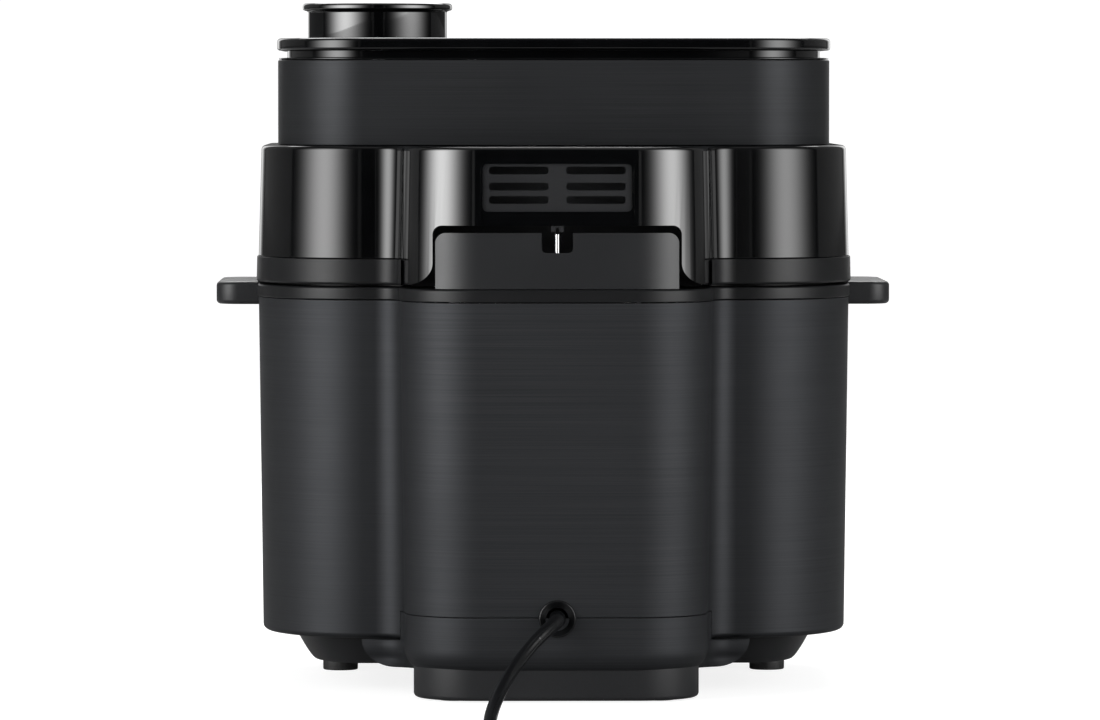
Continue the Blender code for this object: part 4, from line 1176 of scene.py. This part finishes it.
def add_lid_top():
    """The brushed band, the neck above it and the gloss top plate."""
    band = rounded(
        [
            (BAND_INSET + WALL, BAND_BOTTOM, 0),
            (BAND_INSET, BAND_BOTTOM, 0.0004),
            (BAND_INSET, BAND_TOP, 0.0008),
            (BAND_INSET + WALL, BAND_TOP, 0),
        ]
    )
    band = wrap("upper_band", lid_outline, band)
    piece(band, "lid", "brushed_black", "lid_upper_band", finish=BAND_BLACK)
    lip_inset, lip_bottom, lip_top = BAND_INSET + 0.0005, BAND_TOP + GAP, BAND_TOP + 0.0012
    neck = rounded(
        [
            (NECK_INSET + WALL, lip_bottom, 0),
            (lip_inset, lip_bottom, 0.0003),
            (lip_inset, lip_top, 0.0004),
            (NECK_INSET, lip_top, 0.0004),
            (NECK_INSET, NECK_TOP, 0),
            (NECK_INSET + WALL, NECK_TOP, 0),
        ]
    )
    piece(wrap("neck_ring", lid_outline, neck), "lid", "gloss_black", "lid_neck")
    z0, inner = NECK_TOP + GAP, 0.020
    plate = rounded(
        [
            (inner, z0, 0),
            (PLATE_INSET, z0, 0.0016),
            (PLATE_INSET, PLATE_TOP, 0.0020),
            (inner, PLATE_TOP, 0),
        ]
    )
    top = wrap("top_plate", lid_outline, plate, ring=False)
    carve(top, drill(0.0065, 0.34, 0.37, DIAL_AXIS, 32), drill(0.0035, 0.34, 0.37, FLOAT_AXIS, 32))
    piece(soften(top, 0.0003), "lid", "gloss_black", "lid_top_plate")


def add_lid_inside():
    """The lid's underside: plate, gasket, heating chamber, element and guard."""
    plate = prism("inner_plate", lid_outline(0.0036), 0.2277, 0.2302)
    latch_slot = box("tool", (-0.012, 0.012), (-0.165, -0.1530), (0.22, 0.24))
    carve(plate, drill(0.1225, 0.22, 0.24, POT_AXIS, 128), latch_slot)
    piece(soften(plate, 0.0004), "lid", "matte_black", "lid_bottom_plate")
    low, high, outer = 0.2273, 0.2301, 0.1192
    gasket = rounded(
        [(0.1128, low, 0.0006), (outer, low, 0.0009), (outer, high, 0.0005), (0.1150, high, 0.0005)]
    )
    piece(turned("seal_ring", gasket, POT_AXIS, steps=128), "lid", "silicone", "lid_gasket")
    add_chamber()
    ring_r, ring_z, rod_r = 0.086, 0.262, 0.0035
    element = turned("element_ring", arc(ring_r, ring_z, rod_r, 0, 345, 22), POT_AXIS, steps=128)
    piece(element, "lid", "steel", "heating_element")
    add_guard()


def add_chamber():
    """The thin steel shell of the heating chamber, with a flange at its foot."""
    inner, outer, flange, hole = 0.1165, 0.1175, 0.1250, 0.0085
    chamber = rounded(
        [
            (inner, 0.2305, 0.0003),
            (flange, 0.2305, 0),
            (flange, 0.2315, 0),
            (outer, 0.2315, 0),
            (outer, 0.2915, 0.0060),
            (hole, 0.2915, 0),
            (hole, 0.2905, 0),
            (inner, 0.2905, 0.0050),
        ]
    )
    shell = turned("chamber_shell", chamber, POT_AXIS, steps=128)
    carve(shell, drill(0.0045, 0.28, 0.30, DIAL_AXIS, 24), drill(0.0035, 0.28, 0.30, FLOAT_AXIS, 24))
    piece(shell, "lid", "steel", "lid_inner_shell")


def add_guard():
    """A spoked disc below the element and the fan."""
    low, high, edge = 0.2500, 0.2512, 0.1155
    disc = rounded([(0, low, 0), (edge, low, 0.0003), (edge, high, 0.0003), (0, high, 0)])
    guard = turned("guard_disc", disc, POT_AXIS, steps=128)
    windows, turn = 8, 45
    for k in range(windows):
        start, end = turn * k + 3, turn * k + 42
        for inner, outer in ((0.020, 0.060), (0.066, 0.108)):
            shape = arc(0, POT_Y, outer, start, end, 14) + arc(0, POT_Y, inner, end, start, 8)
            carve(guard, prism("tool", shape, 0.24, 0.26))
    piece(soften(guard, 0.0002), "lid", "steel", "element_guard")


def add_dial():
    """The steam dial: a drum, hollow below, with a wider rim and a dished top."""
    top, low, roof = DIAL_TOP, PLATE_TOP + GAP, PLATE_TOP + 0.0075
    inner, dish = DIAL_R - 0.0025, DIAL_TOP - 0.0018
    profile = rounded(
        [
            (0, roof, 0),
            (inner, roof, 0),
            (inner, low, 0),
            (DIAL_R, low, 0.0006),
            (DIAL_R, top - 0.0045, 0.0010),
            (DIAL_RIM_R, top - 0.0036, 0.0012),
            (DIAL_RIM_R, top, 0.0018),
            (DIAL_RIM_R - 0.0050, top, 0.0014),
            (DIAL_RIM_R - 0.0062, dish, 0.0010),
            (0, dish, 0),
        ]
    )
    dial = turned("dial_knob", profile, DIAL_AXIS, steps=128)
    piece(dial, "steam_dial", "gloss_black", "steam_dial", finish=PANEL_BLACK)


def add_release():
    """The button at the front that opens the lid."""
    z, half_w, half_h = 0.2338, 0.020, 0.0032
    shape = round_box(-half_w, half_w, z - half_h, z + half_h, 0.0028, 8)
    button = prism("release_key", shape, PLAN_FRONT + 0.0002, PLAN_FRONT + 0.0037, "Y")
    soften(button, 0.0005, 3)
    piece(button, "lid_release", "matte_black", "lid_release_button")


def dress_frame_nodes():
    """The CAD nodes that are kept take the detailed material of their slot."""
    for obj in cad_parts.values():
        for slot in obj.material_slots:
            known = slot.material.name.split(".")[0] if slot.material else ""
            if known in MATERIALS:
                slot.material = MATERIALS[known]


add_camera()
add_cord()
add_bush()
add_world()
add_lights()
add_dark_card()
add_floor()
add_housing()
add_lower_cover()
add_foot_block()
add_pan()
add_feet()
add_rim()
add_handles()
add_pot()
add_sensor_spring()
add_hinge_cover()
add_front_panel()
add_skirt()
add_ring()
add_rear_panel()
add_lid_top()
add_lid_inside()
add_dial()
add_release()
dress_frame_nodes()
scene.view_settings.view_transform = "Standard"
